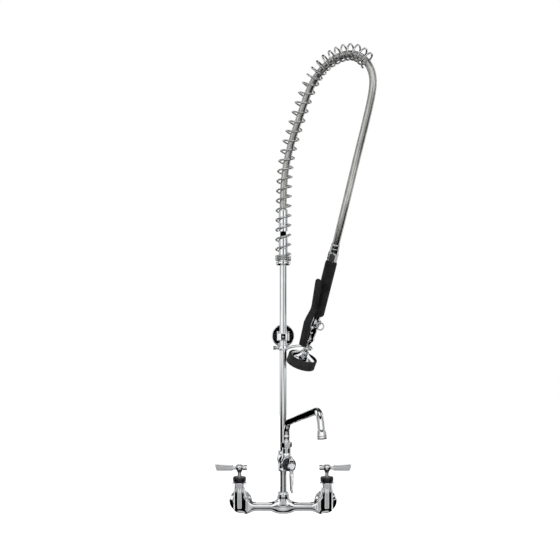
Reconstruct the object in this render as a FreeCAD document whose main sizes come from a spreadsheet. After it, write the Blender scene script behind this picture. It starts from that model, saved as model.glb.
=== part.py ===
"""Wall-mounted pre-rinse faucet: mixing body, riser, add-on faucet, overhead spring, hose and spray valve.

Row frame, in millimetres: the wall is the plane y = 0 and the faucet stands out towards -Y. The origin is
midway between the two water inlets, on the wall. +X is to the right of a person facing the wall, +Z is up.
"""

import FreeCAD, Part
import math
import os
import re

import Sketcher
from FreeCAD import Placement, Rotation, Vector

# Driving dimensions. Each one is a cell of the sheet, and its name is the cell's alias.
DIMENSIONS = {
    "Wall and mixing body": {
        "inlet_spacing": 203.2,
        "stand_off": 62.0,
        "arm_dia": 20.0,
        "arm_bore": 13.0,
        "post_dia": 25.0,
        "post_top": 45.6,
        "post_bottom": 14.6,
        "post_bore": 18.2,
        "post_bore_floor": 8.0,
        "seat_bore": 10.0,
        "boss_dia": 23.6,
        "boss_top": 34.4,
        "boss_flare_dia": 31.0,
        "neck_dia": 21.0,
        "neck_length": 22.0,
    },
    "Inlet unions and wall flanges": {
        "flange_dia": 54.0,
        "flange_rim": 3.0,
        "flange_depth": 12.0,
        "flange_neck_dia": 32.0,
        "inlet_dia": 26.4,
        "inlet_shoulder": 19.0,
        "inlet_spigot_dia": 23.0,
        "inlet_end": 31.0,
        "inlet_thread_dia": 19.0,
        "inlet_thread_length": 16.0,
        "tail_dia": 17.0,
        "tail_flange_dia": 22.4,
        "tail_start": 33.0,
        "tail_flange_end": 35.5,
        "tail_end": 48.0,
        "tail_bore": 11.0,
        "union_flats": 29.0,
        "union_start": 20.0,
        "union_end": 38.5,
    },
    "Riser": {
        "pipe_dia": 16.0,
        "pipe_bore": 12.4,
        "nipple_bottom": 16.5,
        "nipple_top": 99.0,
        "riser_bottom": 115.0,
        "riser_top": 584.0,
        "spring_seat_bottom": 560.6,
        "spring_seat_top": 570.0,
        "spring_seat_dia": 33.0,
        "adapter_top": 626.0,
        "adapter_dia": 20.6,
        "stub_dia": 16.8,
        "stub_top": 634.0,
        "swivel_nut_flats": 24.0,
        "swivel_nut_top": 640.0,
    },
    "Quarter-turn valve, measured up from the rim that its nut sits on": {
        "bonnet_flats": 30.0,
        "bonnet_height": 12.3,
        "cap_dia": 30.4,
        "cap_top": 24.8,
        "cap_bore": 8.5,
        "shell_dia": 17.8,
        "shell_bore": 13.4,
        "shell_bottom": 35.0,
        "disc_dia": 12.6,
        "stem_dia": 8.4,
        "stem_top": 44.8,
        "hub_bottom": 34.6,
        "hub_shoulder": 40.5,
        "hub_top": 52.3,
        "hub_dia": 18.6,
        "hub_waist_dia": 11.0,
        "lever_length": 57.0,
        "lever_root": 11.0,
        "lever_root_width": 9.0,
        "lever_tip_width": 6.0,
        "tail_length": 18.0,
        "index_dia": 10.0,
    },
    "Add-on faucet": {
        "addon_turn": 10.5,
        "addon_bottom": 84.2,
        "addon_top": 130.0,
        "addon_dia": 22.6,
        "addon_axis": 112.0,
        "addon_reach": 40.0,
        "addon_face": 54.0,
        "addon_barrel_dia": 27.0,
        "outlet_dia": 20.0,
        "outlet_shoulder": 145.3,
        "outlet_top": 150.0,
        "outlet_bore": 13.3,
        "outlet_thread_dia": 18.8,
    },
    "Swing nozzle": {
        "nozzle_turn": 12.9,
        "nozzle_dia": 15.0,
        "nozzle_bore": 12.0,
        "nozzle_length": 300.0,
        "nozzle_rise": 200.0,
        "nozzle_peak_reach": 281.0,
        "nozzle_peak": 265.0,
        "nozzle_tip": 212.0,
        "nozzle_bend": 30.0,
        "spigot_dia": 13.2,
        "spigot_bottom": 132.0,
        "spigot_bore": 9.4,
        "seal_low": 136.0,
        "seal_high": 141.0,
        "seal_wire": 1.3,
        "nozzle_collar_dia": 18.2,
        "nozzle_nut_flats": 22.0,
        "nozzle_nut_top": 157.5,
        "tip_dia": 18.0,
        "tip_length": 14.0,
    },
    "Wall bracket": {
        "bracket_height": 395.0,
        "clamp_width": 30.0,
        "clamp_depth": 26.0,
        "clamp_height": 18.0,
        "bracket_rod_dia": 11.0,
        "bracket_boss_dia": 18.0,
        "bracket_hole_spacing": 36.2,
        "bracket_hole_dia": 4.8,
    },
    "Spray valve holder": {
        "holder_height": 369.4,
        "holder_collar_dia": 23.0,
        "holder_collar_height": 11.0,
        "holder_wire_dia": 5.8,
        "holder_curl_radius": 11.4,
        "hook_root": 9.6,
        "hook_rise": 3.2,
        "wing_screw_dia": 4.0,
    },
    "Spray valve, measured up its lower axis from the point that the holder curls round": {
        "valve_x": 53.6,
        "valve_y": 20.6,
        "valve_z": 372.2,
        "valve_heading": -42.0,
        "valve_lean": 25.0,
        "neck_tube_dia": 12.4,
        "neck_foot_dia": 19.0,
        "cone_top": 13.0,
        "cone_bottom": 25.0,
        "cone_dia": 60.0,
        "skirt_bottom": 42.0,
        "bumper_top": 23.5,
        "bumper_bottom": 46.0,
        "bumper_dia": 68.0,
        "face_place": 34.0,
        "face_thickness": 2.0,
        "barrel_start": 14.0,
        "barrel_end": 66.0,
        "barrel_dia": 20.0,
        "plunger_place": 46.0,
        "plunger_boss_dia": 15.0,
        "plunger_boss_reach": 15.5,
        "plunger_dia": 5.0,
        "plunger_tip": 26.6,
        "spring_chamber_start": 3.0,
        "spring_chamber_end": 13.0,
        "plunger_coil_start": 3.2,
        "plunger_coil_length": 5.5,
        "plunger_coil_dia": 8.2,
        "pivot_place": 12.0,
        "pivot_reach": 15.5,
        "pivot_pin_dia": 4.0,
        "lever_width": 17.0,
        "lever_plate": 2.4,
    },
    "Spray valve's grip, measured up its own axis from the bend": {
        "grip_place": 80.0,
        "grip_bend": 9.0,
        "grip_bottom": 2.0,
        "grip_top": 136.0,
        "grip_dia": 26.6,
        "inner_tube_dia": 17.0,
        "inner_tube_top": 144.0,
        "hose_nut_top": 168.0,
        "hose_nut_flats": 20.6,
        "hose_end": 178.0,
        "hose_sleeve_dia": 19.0,
        "ring_heading": 20.0,
        "ring_radius": 8.4,
        "ring_wire_dia": 2.8,
        "eye_place": 69.0,
        "eye_offset": 12.8,
        "eye_dia": 9.8,
        "eye_hole_dia": 4.8,
        "eye_thickness": 2.6,
    },
    "Hose and overhead spring": {
        "hose_start": 692.0,
        "hose_dia": 16.0,
        "hose_bore": 12.6,
        "arch_turn": -40.0,
        "spring_dia": 36.8,
        "spring_wire_dia": 3.2,
    },
}

# The hose's route in the upright plane that it arches in: reach from the riser's axis, and height.
HOSE_ARCH = [
    (0, 692),
    (0, 752),
    (17, 826),
    (46, 892),
    (80, 966),
    (118, 1003),
    (158, 1018),
    (192, 1019),
    (221, 1006.3),
    (242, 983),
    (251.5, 953),
    (247, 918),
    (231, 862),
    (205, 780),
]
HOSE_LAST_RUN = 60
# The middle of the overhead spring, in the same plane. The hose lies on the spring's lower side at its top.
SPRING_ARCH = [
    (0, 572),
    (0, 750),
    (14, 828),
    (43, 895),
    (77, 970),
    (116, 1009),
    (159, 1023),
    (194, 1023.5),
    (221.5, 1010.5),
    (238, 992),
]

# The holder's hook goes round the valve's axis in equal steps, in degrees from the squeeze lever's side.
HOOK_START = 200
HOOK_STEP = 45
HOOK_STEPS = 5

# The squeeze lever's middle line from its hinge up: distance out from the valve's axis, and place along it.
LEVER_LINE = [
    ("pivot_reach + 5", "pivot_place - 6"),
    ("32", "62"),
    ("25", "98"),
    ("45", "170"),
]

doc = FreeCAD.newDocument("pre_rinse_faucet")
sheet = doc.addObject("Spreadsheet::Sheet", "dims")
size = {}
row = 1
for group, cells in DIMENSIONS.items():
    sheet.set(f"A{row}", group)
    row += 1
    for alias, value in cells.items():
        sheet.set(f"A{row}", alias)
        sheet.set(f"B{row}", str(value))
        sheet.setAlias(f"B{row}", alias)
        size[alias] = value
        row += 1
doc.recompute()

pieces = []
alike = {
    name: []
    for name in (
        "bonnet_caps", "valve_cartridges", "valve_seat_discs", "inlet_flanges", "union_washers",
        "coupling_tails", "union_nuts",
    )
}


def linked(expression):
    """The expression with each cell's name made a reference to the sheet."""
    return re.sub(r"[a-z][a-z_0-9]*", lambda m: "dims." + m.group(), str(expression))


def worth(expression):
    return float(sheet.evalExpression(linked(expression)))


def bind(thing, prop, expression):
    thing.setExpression(prop, linked(expression))


def frame(x, y, z, yaw=0.0, lean=0.0, roll=0.0):
    """A placement whose +Z leans from upright towards the heading yaw, turned by roll about itself."""
    up, side = Vector(0, 0, 1), Vector(0, 1, 0)
    turn = Rotation(up, yaw) * Rotation(side, lean) * Rotation(up, roll)
    return Placement(Vector(worth(x), worth(y), worth(z)), turn)


TO_AXIS = {"z": Rotation(), "x": Rotation(Vector(0, 1, 0), 90), "-y": Rotation(Vector(1, 0, 0), 90)}
START = {"z": "Placement.Base.z", "x": "Placement.Base.x", "-y": "Placement.Base.y"}


def place(thing, axis, start, x, y, z):
    """Stands a primitive on its axis, from start, with its other two coordinates given."""
    thing.Placement = Placement(Vector(), TO_AXIS[axis])
    for name, value in {"x": x, "y": y, "z": z}.items():
        bind(thing, "Placement.Base." + name, value)
    bind(thing, START[axis], f"-({start})" if axis == "-y" else start)


def rod(start, end, radius, end_radius=None, axis="z", x=0, y=0, z=0):
    """A cylinder, or a cone where end_radius is given, from start to end along one axis."""
    if end_radius is None:
        thing = doc.addObject("Part::Cylinder", "rod")
        bind(thing, "Radius", radius)
    else:
        thing = doc.addObject("Part::Cone", "cone")
        bind(thing, "Radius1", radius)
        bind(thing, "Radius2", end_radius)
    bind(thing, "Height", f"({end}) - ({start})")
    place(thing, axis, start, x, y, z)
    return thing


def ball(radius, x=0, y=0, z=0):
    thing = doc.addObject("Part::Sphere", "ball")
    bind(thing, "Radius", radius)
    place(thing, "z", z, x, y, z)
    return thing


def block(length, width, height, x, y, z):
    """A box with its lowest corner at x, y, z."""
    thing = doc.addObject("Part::Box", "block")
    for prop, value in (("Length", length), ("Width", width), ("Height", height)):
        bind(thing, prop, value)
    place(thing, "z", z, x, y, z)
    return thing


def fuse(*things):
    thing = doc.addObject("Part::MultiFuse", "fusion")
    thing.Shapes = list(things)
    return thing


def common(*things):
    thing = doc.addObject("Part::MultiCommon", "overlap")
    thing.Shapes = list(things)
    return thing


def cut(base, *tools):
    thing = doc.addObject("Part::Cut", "cut")
    thing.Base = base
    thing.Tool = tools[0] if len(tools) == 1 else fuse(*tools)
    return thing


def hexagon(flats, start, end, axis="z", x=0, y=0, z=0):
    """A hexagonal bar whose corners are turned off at both ends, as on a nut."""
    bar = doc.addObject("Part::Prism", "hexagon")
    bar.Polygon = 6
    bind(bar, "Circumradius", f"({flats}) / 1.7320508")
    bind(bar, "Height", f"({end}) - ({start})")
    place(bar, axis, start, x, y, z)
    where = {"axis": axis, "x": x, "y": y, "z": z}
    wide = f"({flats}) / 2 + 1.8"
    turned = fuse(
        rod(start, f"({start}) + 1.2", f"({flats}) / 2", wide, **where),
        rod(f"({start}) + 1.2", f"({end}) - 1.2", wide, **where),
        rod(f"({end}) - 1.2", end, wide, f"({flats}) / 2", **where),
    )
    return common(bar, turned)


def outline(body, points, plane):
    """A closed sketch of straight lines in a body, each corner tied to the sheet."""
    sketch = body.newObject("Sketcher::SketchObject", "outline")
    face = next(f for f in body.Origin.OriginFeatures if f.Role == plane)
    sketch.AttachmentSupport = [(face, "")]
    sketch.MapMode = "FlatFace"
    corners = [Vector(worth(across), worth(along), 0) for across, along in points]
    count = len(corners)
    for i in range(count):
        sketch.addGeometry(Part.LineSegment(corners[i], corners[(i + 1) % count]), False)
    for i in range(count):
        sketch.addConstraint(Sketcher.Constraint("Coincident", i, 2, (i + 1) % count, 1))
    for i in range(count):
        for kind, value, expression in zip(("DistanceX", "DistanceY"), corners[i], points[i]):
            at = sketch.addConstraint(Sketcher.Constraint(kind, -1, 1, i, 1, value))
            bind(sketch, f"Constraints[{at}]", expression)
    return sketch


def plate(points, width, plane="XZ_Plane"):
    """An outline padded evenly to both sides of its plane."""
    body = doc.addObject("PartDesign::Body", "plate")
    pad = body.newObject("PartDesign::Pad", "pad")
    pad.Profile = outline(body, points, plane)
    pad.Midplane = True
    bind(pad, "Length", width)
    body.Tip = pad
    return body


def turned(points):
    """An outline of (radius, height) corners turned about the upright axis."""
    body = doc.addObject("PartDesign::Body", "turned")
    spin = body.newObject("PartDesign::Revolution", "revolution")
    spin.Profile = outline(body, points, "XZ_Plane")
    spin.ReferenceAxis = (spin.Profile[0], ["V_Axis"])
    spin.Angle = 360
    body.Tip = spin
    return body


def ring(start, end, outer, inner):
    """A washer or sleeve: outer and inner diameters between two heights."""
    return turned([
        (f"({inner}) / 2", start), (f"({outer}) / 2", start),
        (f"({outer}) / 2", end), (f"({inner}) / 2", end),
    ])


def bar(start, end, across):
    """A round bar between two heights."""
    return turned([("0", start), (f"({across}) / 2", start), (f"({across}) / 2", end), ("0", end)])


def piece(label, thing, placement=None):
    """Names a finished piece. Its label is the name of its file."""
    thing.Label = label
    if placement is not None:
        thing.Placement = placement
    pieces.append(thing)
    return thing


def corner_radii(points, limit=None):
    """The arc at each inner point of a route: 0.45 of its shorter run, over the tangent of half the turn."""
    radii = []
    for before, here, after in zip(points, points[1:], points[2:]):
        turn = (here - before).getAngle(after - here)
        radius = 0.45 * min((here - before).Length, (after - here).Length) / math.tan(turn / 2)
        radii.append(radius if limit is None else min(radius, limit))
    return radii


def route_wire(points, limit=None):
    """Straight runs through the points, joined by tangent arcs."""
    edges = []
    here = points[0]
    radii = corner_radii(points, limit)
    for before, corner, after, radius in zip(points, points[1:], points[2:], radii):
        back, ahead = (before - corner).normalize(), (after - corner).normalize()
        turn = (-back).getAngle(ahead)
        reach = radius * math.tan(turn / 2)
        enter, leave = corner + back * reach, corner + ahead * reach
        middle = (back + ahead).normalize()
        crown = corner + middle * (radius / math.cos(turn / 2) - radius)
        edges.append(Part.LineSegment(here, enter).toShape())
        edges.append(Part.Arc(enter, crown, leave).toShape())
        here = leave
    edges.append(Part.LineSegment(here, points[-1]).toShape())
    return Part.Wire(edges)


def swept(wire, diameter, bore=None):
    """A rod or a pipe along a wire."""
    start = wire.Edges[0].Vertexes[0].Point
    ahead = wire.Edges[0].tangentAt(wire.Edges[0].FirstParameter)

    def solid(across):
        section = Part.Wire(Part.makeCircle(across / 2, start, ahead))
        return wire.makePipeShell([section], True, False)

    if bore is None:
        return solid(diameter)
    return solid(diameter).cut(solid(bore))


def group(label, things):
    """Pieces that are alike, as separate solids in one file."""
    thing = doc.addObject("Part::Compound", label)
    thing.Links = things
    return piece(label, thing)


def moved(thing, placement):
    thing.Placement = placement
    return thing


def shaped(label, shape, placement=None):
    """A piece whose shape is made with Part's own functions."""
    thing = doc.addObject("Part::Feature", label)
    thing.Shape = shape
    thing.Placement = placement or Placement()
    return piece(label, thing)


def mixing_body():
    """The cast body: two valve posts on a cross tube, necks to the wall and a boss for the riser."""
    half = "inlet_spacing / 2"
    out = "-stand_off"
    solids = [rod(f"-{half}", half, "arm_dia / 2", axis="x", y=out)]
    holes = [rod(f"-{half}", half, "arm_bore / 2", axis="x", y=out)]
    for side in (f"-{half}", half):
        solids += [
            rod("5 - post_bottom", "post_top", "post_dia / 2", x=side, y=out),
            rod("-post_bottom", "5 - post_bottom", "post_dia / 2 - 4.5", "post_dia / 2", x=side, y=out),
            rod("stand_off - neck_length", "stand_off", "neck_dia / 2", axis="-y", x=side),
        ]
        holes += [
            rod("post_bore_floor", "post_top + 1", "post_bore / 2", x=side, y=out),
            rod("0", "post_bore_floor + 1", "seat_bore / 2", x=side, y=out),
            rod("stand_off - neck_length - 1", "tail_end", "tail_dia / 2", axis="-y", x=side),
            rod("tail_end - 1", "stand_off", "tail_bore / 2", axis="-y", x=side),
        ]
    solids += [
        rod("-13", "8", "boss_flare_dia / 2 - 5", "boss_flare_dia / 2", y=out),
        rod("8", "20", "boss_flare_dia / 2", "boss_dia / 2", y=out),
        rod("20", "boss_top", "boss_dia / 2", y=out),
    ]
    holes += [
        rod("nipple_bottom", "boss_top + 1", "pipe_dia / 2", y=out),
        rod("0", "nipple_bottom + 1", "pipe_bore / 2", y=out),
    ]
    for side in ("-1", "1"):
        tip = f"{side} * (inlet_spacing / 2 - post_dia / 2 - 18)"
        root_end = f"{side} * (inlet_spacing / 2)"
        low, high = sorted((tip, root_end), key=worth)
        radii = ("arm_dia / 2", "post_dia / 2") if side == "1" else ("post_dia / 2", "arm_dia / 2")
        solids.append(rod(low, high, *radii, axis="x", y=out))
    piece("base_body", cut(fuse(*solids), fuse(*holes)))


def inlets():
    """At each inlet: the flanged inlet on the wall, a washer, the tail piece and the union nut."""
    for x in ("-inlet_spacing / 2", "inlet_spacing / 2"):
        at = Placement(Vector(worth(x), 0, 0), TO_AXIS["-y"])
        inlet = turned([
            ("inlet_thread_dia / 2", "0"), ("flange_dia / 2", "0"), ("flange_dia / 2", "flange_rim"),
            ("flange_neck_dia / 2", "flange_depth"), ("inlet_dia / 2", "flange_depth"),
            ("inlet_dia / 2", "inlet_shoulder"), ("inlet_spigot_dia / 2", "inlet_shoulder"),
            ("inlet_spigot_dia / 2", "inlet_end"), ("pipe_bore / 2", "inlet_end"),
            ("pipe_bore / 2", "inlet_thread_length"), ("inlet_thread_dia / 2", "inlet_thread_length"),
        ])
        alike["inlet_flanges"].append(moved(inlet, at))
        washer = ring("inlet_end", "tail_start", "tail_flange_dia", "pipe_bore")
        alike["union_washers"].append(moved(washer, at))
        tail = turned([
            ("tail_bore / 2", "tail_start"), ("tail_flange_dia / 2", "tail_start"),
            ("tail_flange_dia / 2", "tail_flange_end"), ("tail_dia / 2", "tail_flange_end"),
            ("tail_dia / 2", "tail_end"), ("tail_bore / 2", "tail_end"),
        ])
        alike["coupling_tails"].append(moved(tail, at))
        nut = cut(
            hexagon("union_flats", "union_start", "union_end"),
            rod("union_start - 1", "tail_flange_end", "inlet_spigot_dia / 2"),
            rod("union_start", "union_end + 1", "tail_dia / 2"),
        )
        alike["union_nuts"].append(moved(nut, at))


def quarter_turn_valve(name, at, turn):
    """A valve on a body's rim: bonnet, cap and ceramic cartridge, and a lever handle turned by turn."""
    handle_at = at * Placement(Vector(), Rotation(Vector(0, 0, 1), turn))
    bonnet = cut(
        fuse(
            hexagon("bonnet_flats", "0", "bonnet_height"),
            rod("bonnet_height - 1", "cap_top - 3.4", "cap_dia / 2 - 3"),
            rod("-9", "1", "post_bore / 2"),
        ),
        rod("-10", "cap_top - 8", "shell_bore / 2"),
        rod("0", "cap_top", "cap_bore / 2"),
    )
    piece(name + "_bonnet", bonnet, at)
    cap = cut(
        rod("bonnet_height", "cap_top", "cap_dia / 2"),
        rod("bonnet_height - 1", "cap_top - 3.4", "cap_dia / 2 - 3"),
        rod("bonnet_height", "cap_top + 1", "cap_bore / 2"),
    )
    alike["bonnet_caps"].append(moved(cap, at))
    cartridge = turned([
        ("seat_bore / 2 - 1", "-shell_bottom"), ("shell_dia / 2", "-shell_bottom"), ("shell_dia / 2", "-9"),
        ("shell_bore / 2 - 0.4", "-9"), ("shell_bore / 2 - 0.4", "cap_top - 8"),
        ("cap_bore / 2", "cap_top - 8"), ("cap_bore / 2", "-16"), ("disc_dia / 2 + 0.3", "-16"),
        ("disc_dia / 2 + 0.3", "5 - shell_bottom"), ("seat_bore / 2 - 1", "5 - shell_bottom"),
    ])
    alike["valve_cartridges"].append(moved(cartridge, at))
    seat = cut(
        rod("5 - shell_bottom", "8 - shell_bottom", "disc_dia / 2 + 0.3"),
        rod("4 - shell_bottom", "9 - shell_bottom", "1.6", x=3.2),
        rod("4 - shell_bottom", "9 - shell_bottom", "1.6", x=-3.2),
    )
    alike["valve_seat_discs"].append(moved(seat, at))
    disc = cut(
        rod("8.1 - shell_bottom", "11 - shell_bottom", "disc_dia / 2"),
        rod("8 - shell_bottom", "12 - shell_bottom", "1.6", y=3.2),
        rod("8 - shell_bottom", "12 - shell_bottom", "1.6", y=-3.2),
    )
    piece(name + "_turning_disc", disc, handle_at)
    stem = fuse(
        rod("11 - shell_bottom", "14 - shell_bottom", "disc_dia / 2"),
        rod("14 - shell_bottom", "stem_top", "stem_dia / 2"),
    )
    piece(name + "_stem", cut(stem, rod("stem_top - 9", "stem_top + 1", "1.5")), handle_at)
    screw = fuse(
        rod("stem_top - 8", "stem_top + 1", "1.5"),
        rod("stem_top + 1", "stem_top + 3", "3.4"),
    )
    piece(name + "_handle_screw", screw, handle_at)
    piece(name + "_index_cap", bar("hub_top - 3.2", "hub_top - 0.4", "index_dia"), handle_at)
    blade = plate(
        [
            ("-tail_length", "lever_root + 23"), ("-tail_length", "lever_root + 35"),
            ("-8", "lever_root + 36.5"), ("8", "lever_root + 34"), ("13", "lever_root + 33"),
            ("lever_length - 1.5", "lever_root + 37.5"), ("lever_length - 4.5", "lever_root + 24.5"),
            ("15", "lever_root + 24"), ("13", "lever_root + 26"), ("8", "lever_root + 26"),
            ("-8", "lever_root + 24"),
        ],
        "lever_root_width",
    )
    taper = plate(
        [
            ("-tail_length - 1", "-lever_root_width / 2"), ("-tail_length - 1", "lever_root_width / 2"),
            ("12", "lever_root_width / 2"), ("lever_length", "lever_tip_width / 2"),
            ("lever_length", "-lever_tip_width / 2"), ("12", "-lever_root_width / 2"),
        ],
        "4 * hub_top",
        "XY_Plane",
    )
    hub = turned([
        ("0", "hub_bottom"), ("hub_waist_dia / 2", "hub_bottom"), ("hub_dia / 2", "hub_shoulder"),
        ("hub_dia / 2", "hub_top - 2.5"), ("hub_dia / 2 - 2.5", "hub_top"), ("0", "hub_top"),
    ])
    handle = cut(
        fuse(hub, common(blade, taper)),
        rod("hub_bottom - 1", "stem_top", "stem_dia / 2"),
        rod("stem_top - 1", "stem_top + 1.2", "1.6"),
        rod("stem_top + 1", "hub_top + 1", "index_dia / 2"),
    )
    piece(name + "_handle", handle, handle_at)


def riser():
    at = frame(0, "-stand_off", 0)
    piece("riser_nipple", ring("nipple_bottom", "nipple_top", "pipe_dia", "pipe_bore"), at)
    piece("riser_pipe", ring("riser_bottom", "riser_top", "pipe_dia", "pipe_bore"), at)


def addon_faucet():
    """The add-on faucet between nipple and riser, its valve towards the front, its outlet upwards."""
    at = frame(0, "-stand_off", 0, size["addon_turn"])
    body = fuse(
        rod("addon_bottom", "addon_top", "addon_dia / 2"),
        rod("0", "addon_face", "addon_barrel_dia / 2", axis="-y", z="addon_axis"),
        rod("addon_axis", "outlet_shoulder", "outlet_dia / 2", y="-addon_reach"),
        rod("outlet_shoulder - 1", "outlet_top", "outlet_thread_dia / 2", y="-addon_reach"),
    )
    holes = fuse(
        rod("addon_bottom - 1", "nipple_top", "pipe_dia / 2"),
        rod("nipple_top - 1", "riser_bottom + 1", "pipe_bore / 2"),
        rod("riser_bottom", "addon_top + 1", "pipe_dia / 2"),
        rod("addon_face - 37.6", "addon_face + 1", "post_bore / 2", axis="-y", z="addon_axis"),
        rod("0", "addon_face - 37", "seat_bore / 2 - 1", axis="-y", z="addon_axis"),
        rod("addon_axis + post_bore / 2 - 1", "outlet_top + 1", "outlet_bore / 2", y="-addon_reach"),
    )
    piece("addon_body", cut(body, holes), at)


def swing_nozzle():
    """The tube that swings on the add-on faucet's outlet, with its seals, nut and outlet tip."""
    angle = math.radians(size["addon_turn"])
    pivot = Vector(size["addon_reach"] * math.sin(angle), -size["addon_reach"] * math.cos(angle), 0)
    fixed = frame(pivot.x, pivot.y - size["stand_off"], 0, size["addon_turn"])
    at = frame(pivot.x, pivot.y - size["stand_off"], 0, size["nozzle_turn"])
    corners = [
        Vector(0, 0, size["outlet_top"] + 8),
        Vector(0, 0, size["nozzle_rise"]),
        Vector(0, -size["nozzle_peak_reach"], size["nozzle_peak"]),
        Vector(0, -size["nozzle_length"], size["nozzle_tip"]),
    ]
    wire = route_wire(corners, size["nozzle_bend"])
    tube = swept(wire, size["nozzle_dia"])
    base = Vector(0, 0, size["spigot_bottom"])
    spigot = Part.makeCylinder(size["spigot_dia"] / 2, size["outlet_top"] + 1 - size["spigot_bottom"], base)
    collar_low, collar_high = size["outlet_top"] + 0.3, size["outlet_top"] + 4
    collar_base = Vector(0, 0, collar_low)
    collar = Part.makeCylinder(size["nozzle_collar_dia"] / 2, collar_high - collar_low, collar_base)
    neck = Part.makeCylinder(size["nozzle_dia"] / 2, 5, Vector(0, 0, collar_high))
    seal_middle = size["spigot_dia"] / 2 - size["seal_wire"] / 2
    for place_z in size["seal_low"], size["seal_high"]:
        groove = Part.makeTorus(seal_middle, size["seal_wire"] / 2 + 0.1, Vector(0, 0, place_z))
        spigot = spigot.cut(groove)
    bore = Part.makeCylinder(size["spigot_bore"] / 2, 30, base - Vector(0, 0, 1))
    hollow = swept(wire, size["nozzle_bore"])
    shape = spigot.fuse([collar, neck, tube]).cut([bore, hollow]).removeSplitter()
    shaped("swing_nozzle", shape, at)
    seals = [
        Part.makeTorus(seal_middle, size["seal_wire"] / 2, Vector(0, 0, place_z))
        for place_z in (size["seal_low"], size["seal_high"])
    ]
    shaped("nozzle_o_rings", Part.makeCompound(seals), at)
    nut = cut(
        hexagon("nozzle_nut_flats", "outlet_shoulder", "nozzle_nut_top"),
        rod("outlet_shoulder - 1", "outlet_top + 4.3", "outlet_thread_dia / 2"),
        rod("outlet_top", "nozzle_nut_top + 1", "nozzle_dia / 2 + 0.35"),
    )
    piece("nozzle_nut", nut, fixed)
    ahead = (corners[3] - corners[2]).normalize()
    start = corners[3] - ahead * size["tip_length"]
    sleeve = Part.makeCylinder(size["tip_dia"] / 2, size["tip_length"] + 1.5, start, ahead)
    sleeve = sleeve.cut([
        Part.makeCylinder(size["nozzle_dia"] / 2, size["tip_length"], start, ahead),
        Part.makeCylinder(size["nozzle_bore"] / 2, size["tip_length"] + 2, start, ahead),
    ])
    shaped("nozzle_tip", sleeve, at)


def wall_bracket():
    """The clamp on the riser, its set screw, and the rod and flange that hold it to the wall."""
    at = frame(0, 0, "bracket_height")
    out = "-stand_off"
    half = "clamp_height / 2"
    clamp = cut(
        common(
            rod(f"-{half}", half, "clamp_width / 2", y=out),
            block(
                "clamp_width", "clamp_depth", "clamp_height",
                "-clamp_width / 2", "-stand_off - clamp_depth / 2", "-clamp_height / 2",
            ),
        ),
        rod(f"-{half} - 1", f"{half} + 1", "pipe_dia / 2", y=out),
        rod("stand_off", "stand_off + clamp_depth / 2 + 1", "2.5", axis="-y"),
        rod(
            "stand_off - clamp_depth / 2 - 1", "stand_off - pipe_dia / 2 - 1", "bracket_rod_dia / 2",
            axis="-y",
        ),
    )
    piece("bracket_clamp", clamp, at)
    screw = cut(
        rod("stand_off + pipe_dia / 2", "stand_off + clamp_depth / 2 + 1.2", "2.5", axis="-y"),
        rod("stand_off + clamp_depth / 2 - 1.5", "stand_off + clamp_depth / 2 + 2", "1.25", axis="-y"),
    )
    piece("bracket_set_screw", screw, at)
    stem = bar("3", "stand_off - pipe_dia / 2 - 1", "bracket_rod_dia")
    piece("bracket_rod", stem, at * Placement(Vector(), TO_AXIS["-y"]))
    flange = cut(
        fuse(
            rod("0", "3", "flange_dia / 2", axis="-y"),
            rod("3", "6", "flange_dia / 2 - 1", "flange_dia / 2 - 8", axis="-y"),
            rod("2", "16", "bracket_boss_dia / 2", axis="-y"),
        ),
        rod("3", "17", "bracket_rod_dia / 2", axis="-y"),
        *[
            hole
            for x in ("-bracket_hole_spacing / 2", "bracket_hole_spacing / 2")
            for hole in (
                rod("-1", "7", "bracket_hole_dia / 2", axis="-y", x=x),
                rod("3", "7", "bracket_hole_dia / 2", "bracket_hole_dia / 2 + 3", axis="-y", x=x),
            )
        ],
    )
    piece("bracket_flange", flange, at)


def valve_holder():
    """The collar clamped on the riser and the bent rod that the spray valve's neck rests in."""
    at = frame(0, "-stand_off", "holder_height")
    half = "holder_collar_height / 2"
    hook = bent_hook()
    hook_socket = doc.addObject("Part::Feature", "hook_socket")
    hook_socket.Shape = hook
    hook_socket.Placement = at.inverse()
    collar = cut(
        fuse(
            rod(f"-{half}", half, "holder_collar_dia / 2"),
            rod("-14.5", "0", "4", axis="x"),
        ),
        rod(f"-{half} - 1", f"{half} + 1", "pipe_dia / 2"),
        rod("-15", "0", "wing_screw_dia / 2 + 0.05", axis="x"),
        hook_socket,
    )
    piece("holder_collar", collar, at)
    shaped("holder_hook", hook)
    screw = fuse(
        rod("-19", "-pipe_dia / 2 - 0.1", "wing_screw_dia / 2", axis="x"),
        block("7", "2.2", "9", "-23", "-1.1", "-4.5"),
        rod("-19", "-14.9", "3", axis="x"),
    )
    piece("holder_thumb_screw", screw, at)


def bent_hook():
    """The holder's rod: out of the collar, behind the valve's neck, round its right side to the front."""
    inside = valve_frame()
    curl = size["holder_curl_radius"]
    step = math.radians(HOOK_STEP)
    reach = curl / math.cos(step / 2)
    around = []
    for i in range(HOOK_STEPS):
        angle = math.radians(HOOK_START) - i * step
        around.append(inside.multVec(Vector(reach * math.cos(angle), reach * math.sin(angle), 0)))
    start = Vector(size["hook_root"], -size["stand_off"], size["holder_height"])
    rise = (start + around[0]) / 2 + Vector(0, 0, size["hook_rise"])
    shape = swept(route_wire([start, rise] + around, curl), size["holder_wire_dia"])
    return shape.fuse(Part.makeSphere(size["holder_wire_dia"] / 2 + 0.2, around[-1])).removeSplitter()


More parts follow.
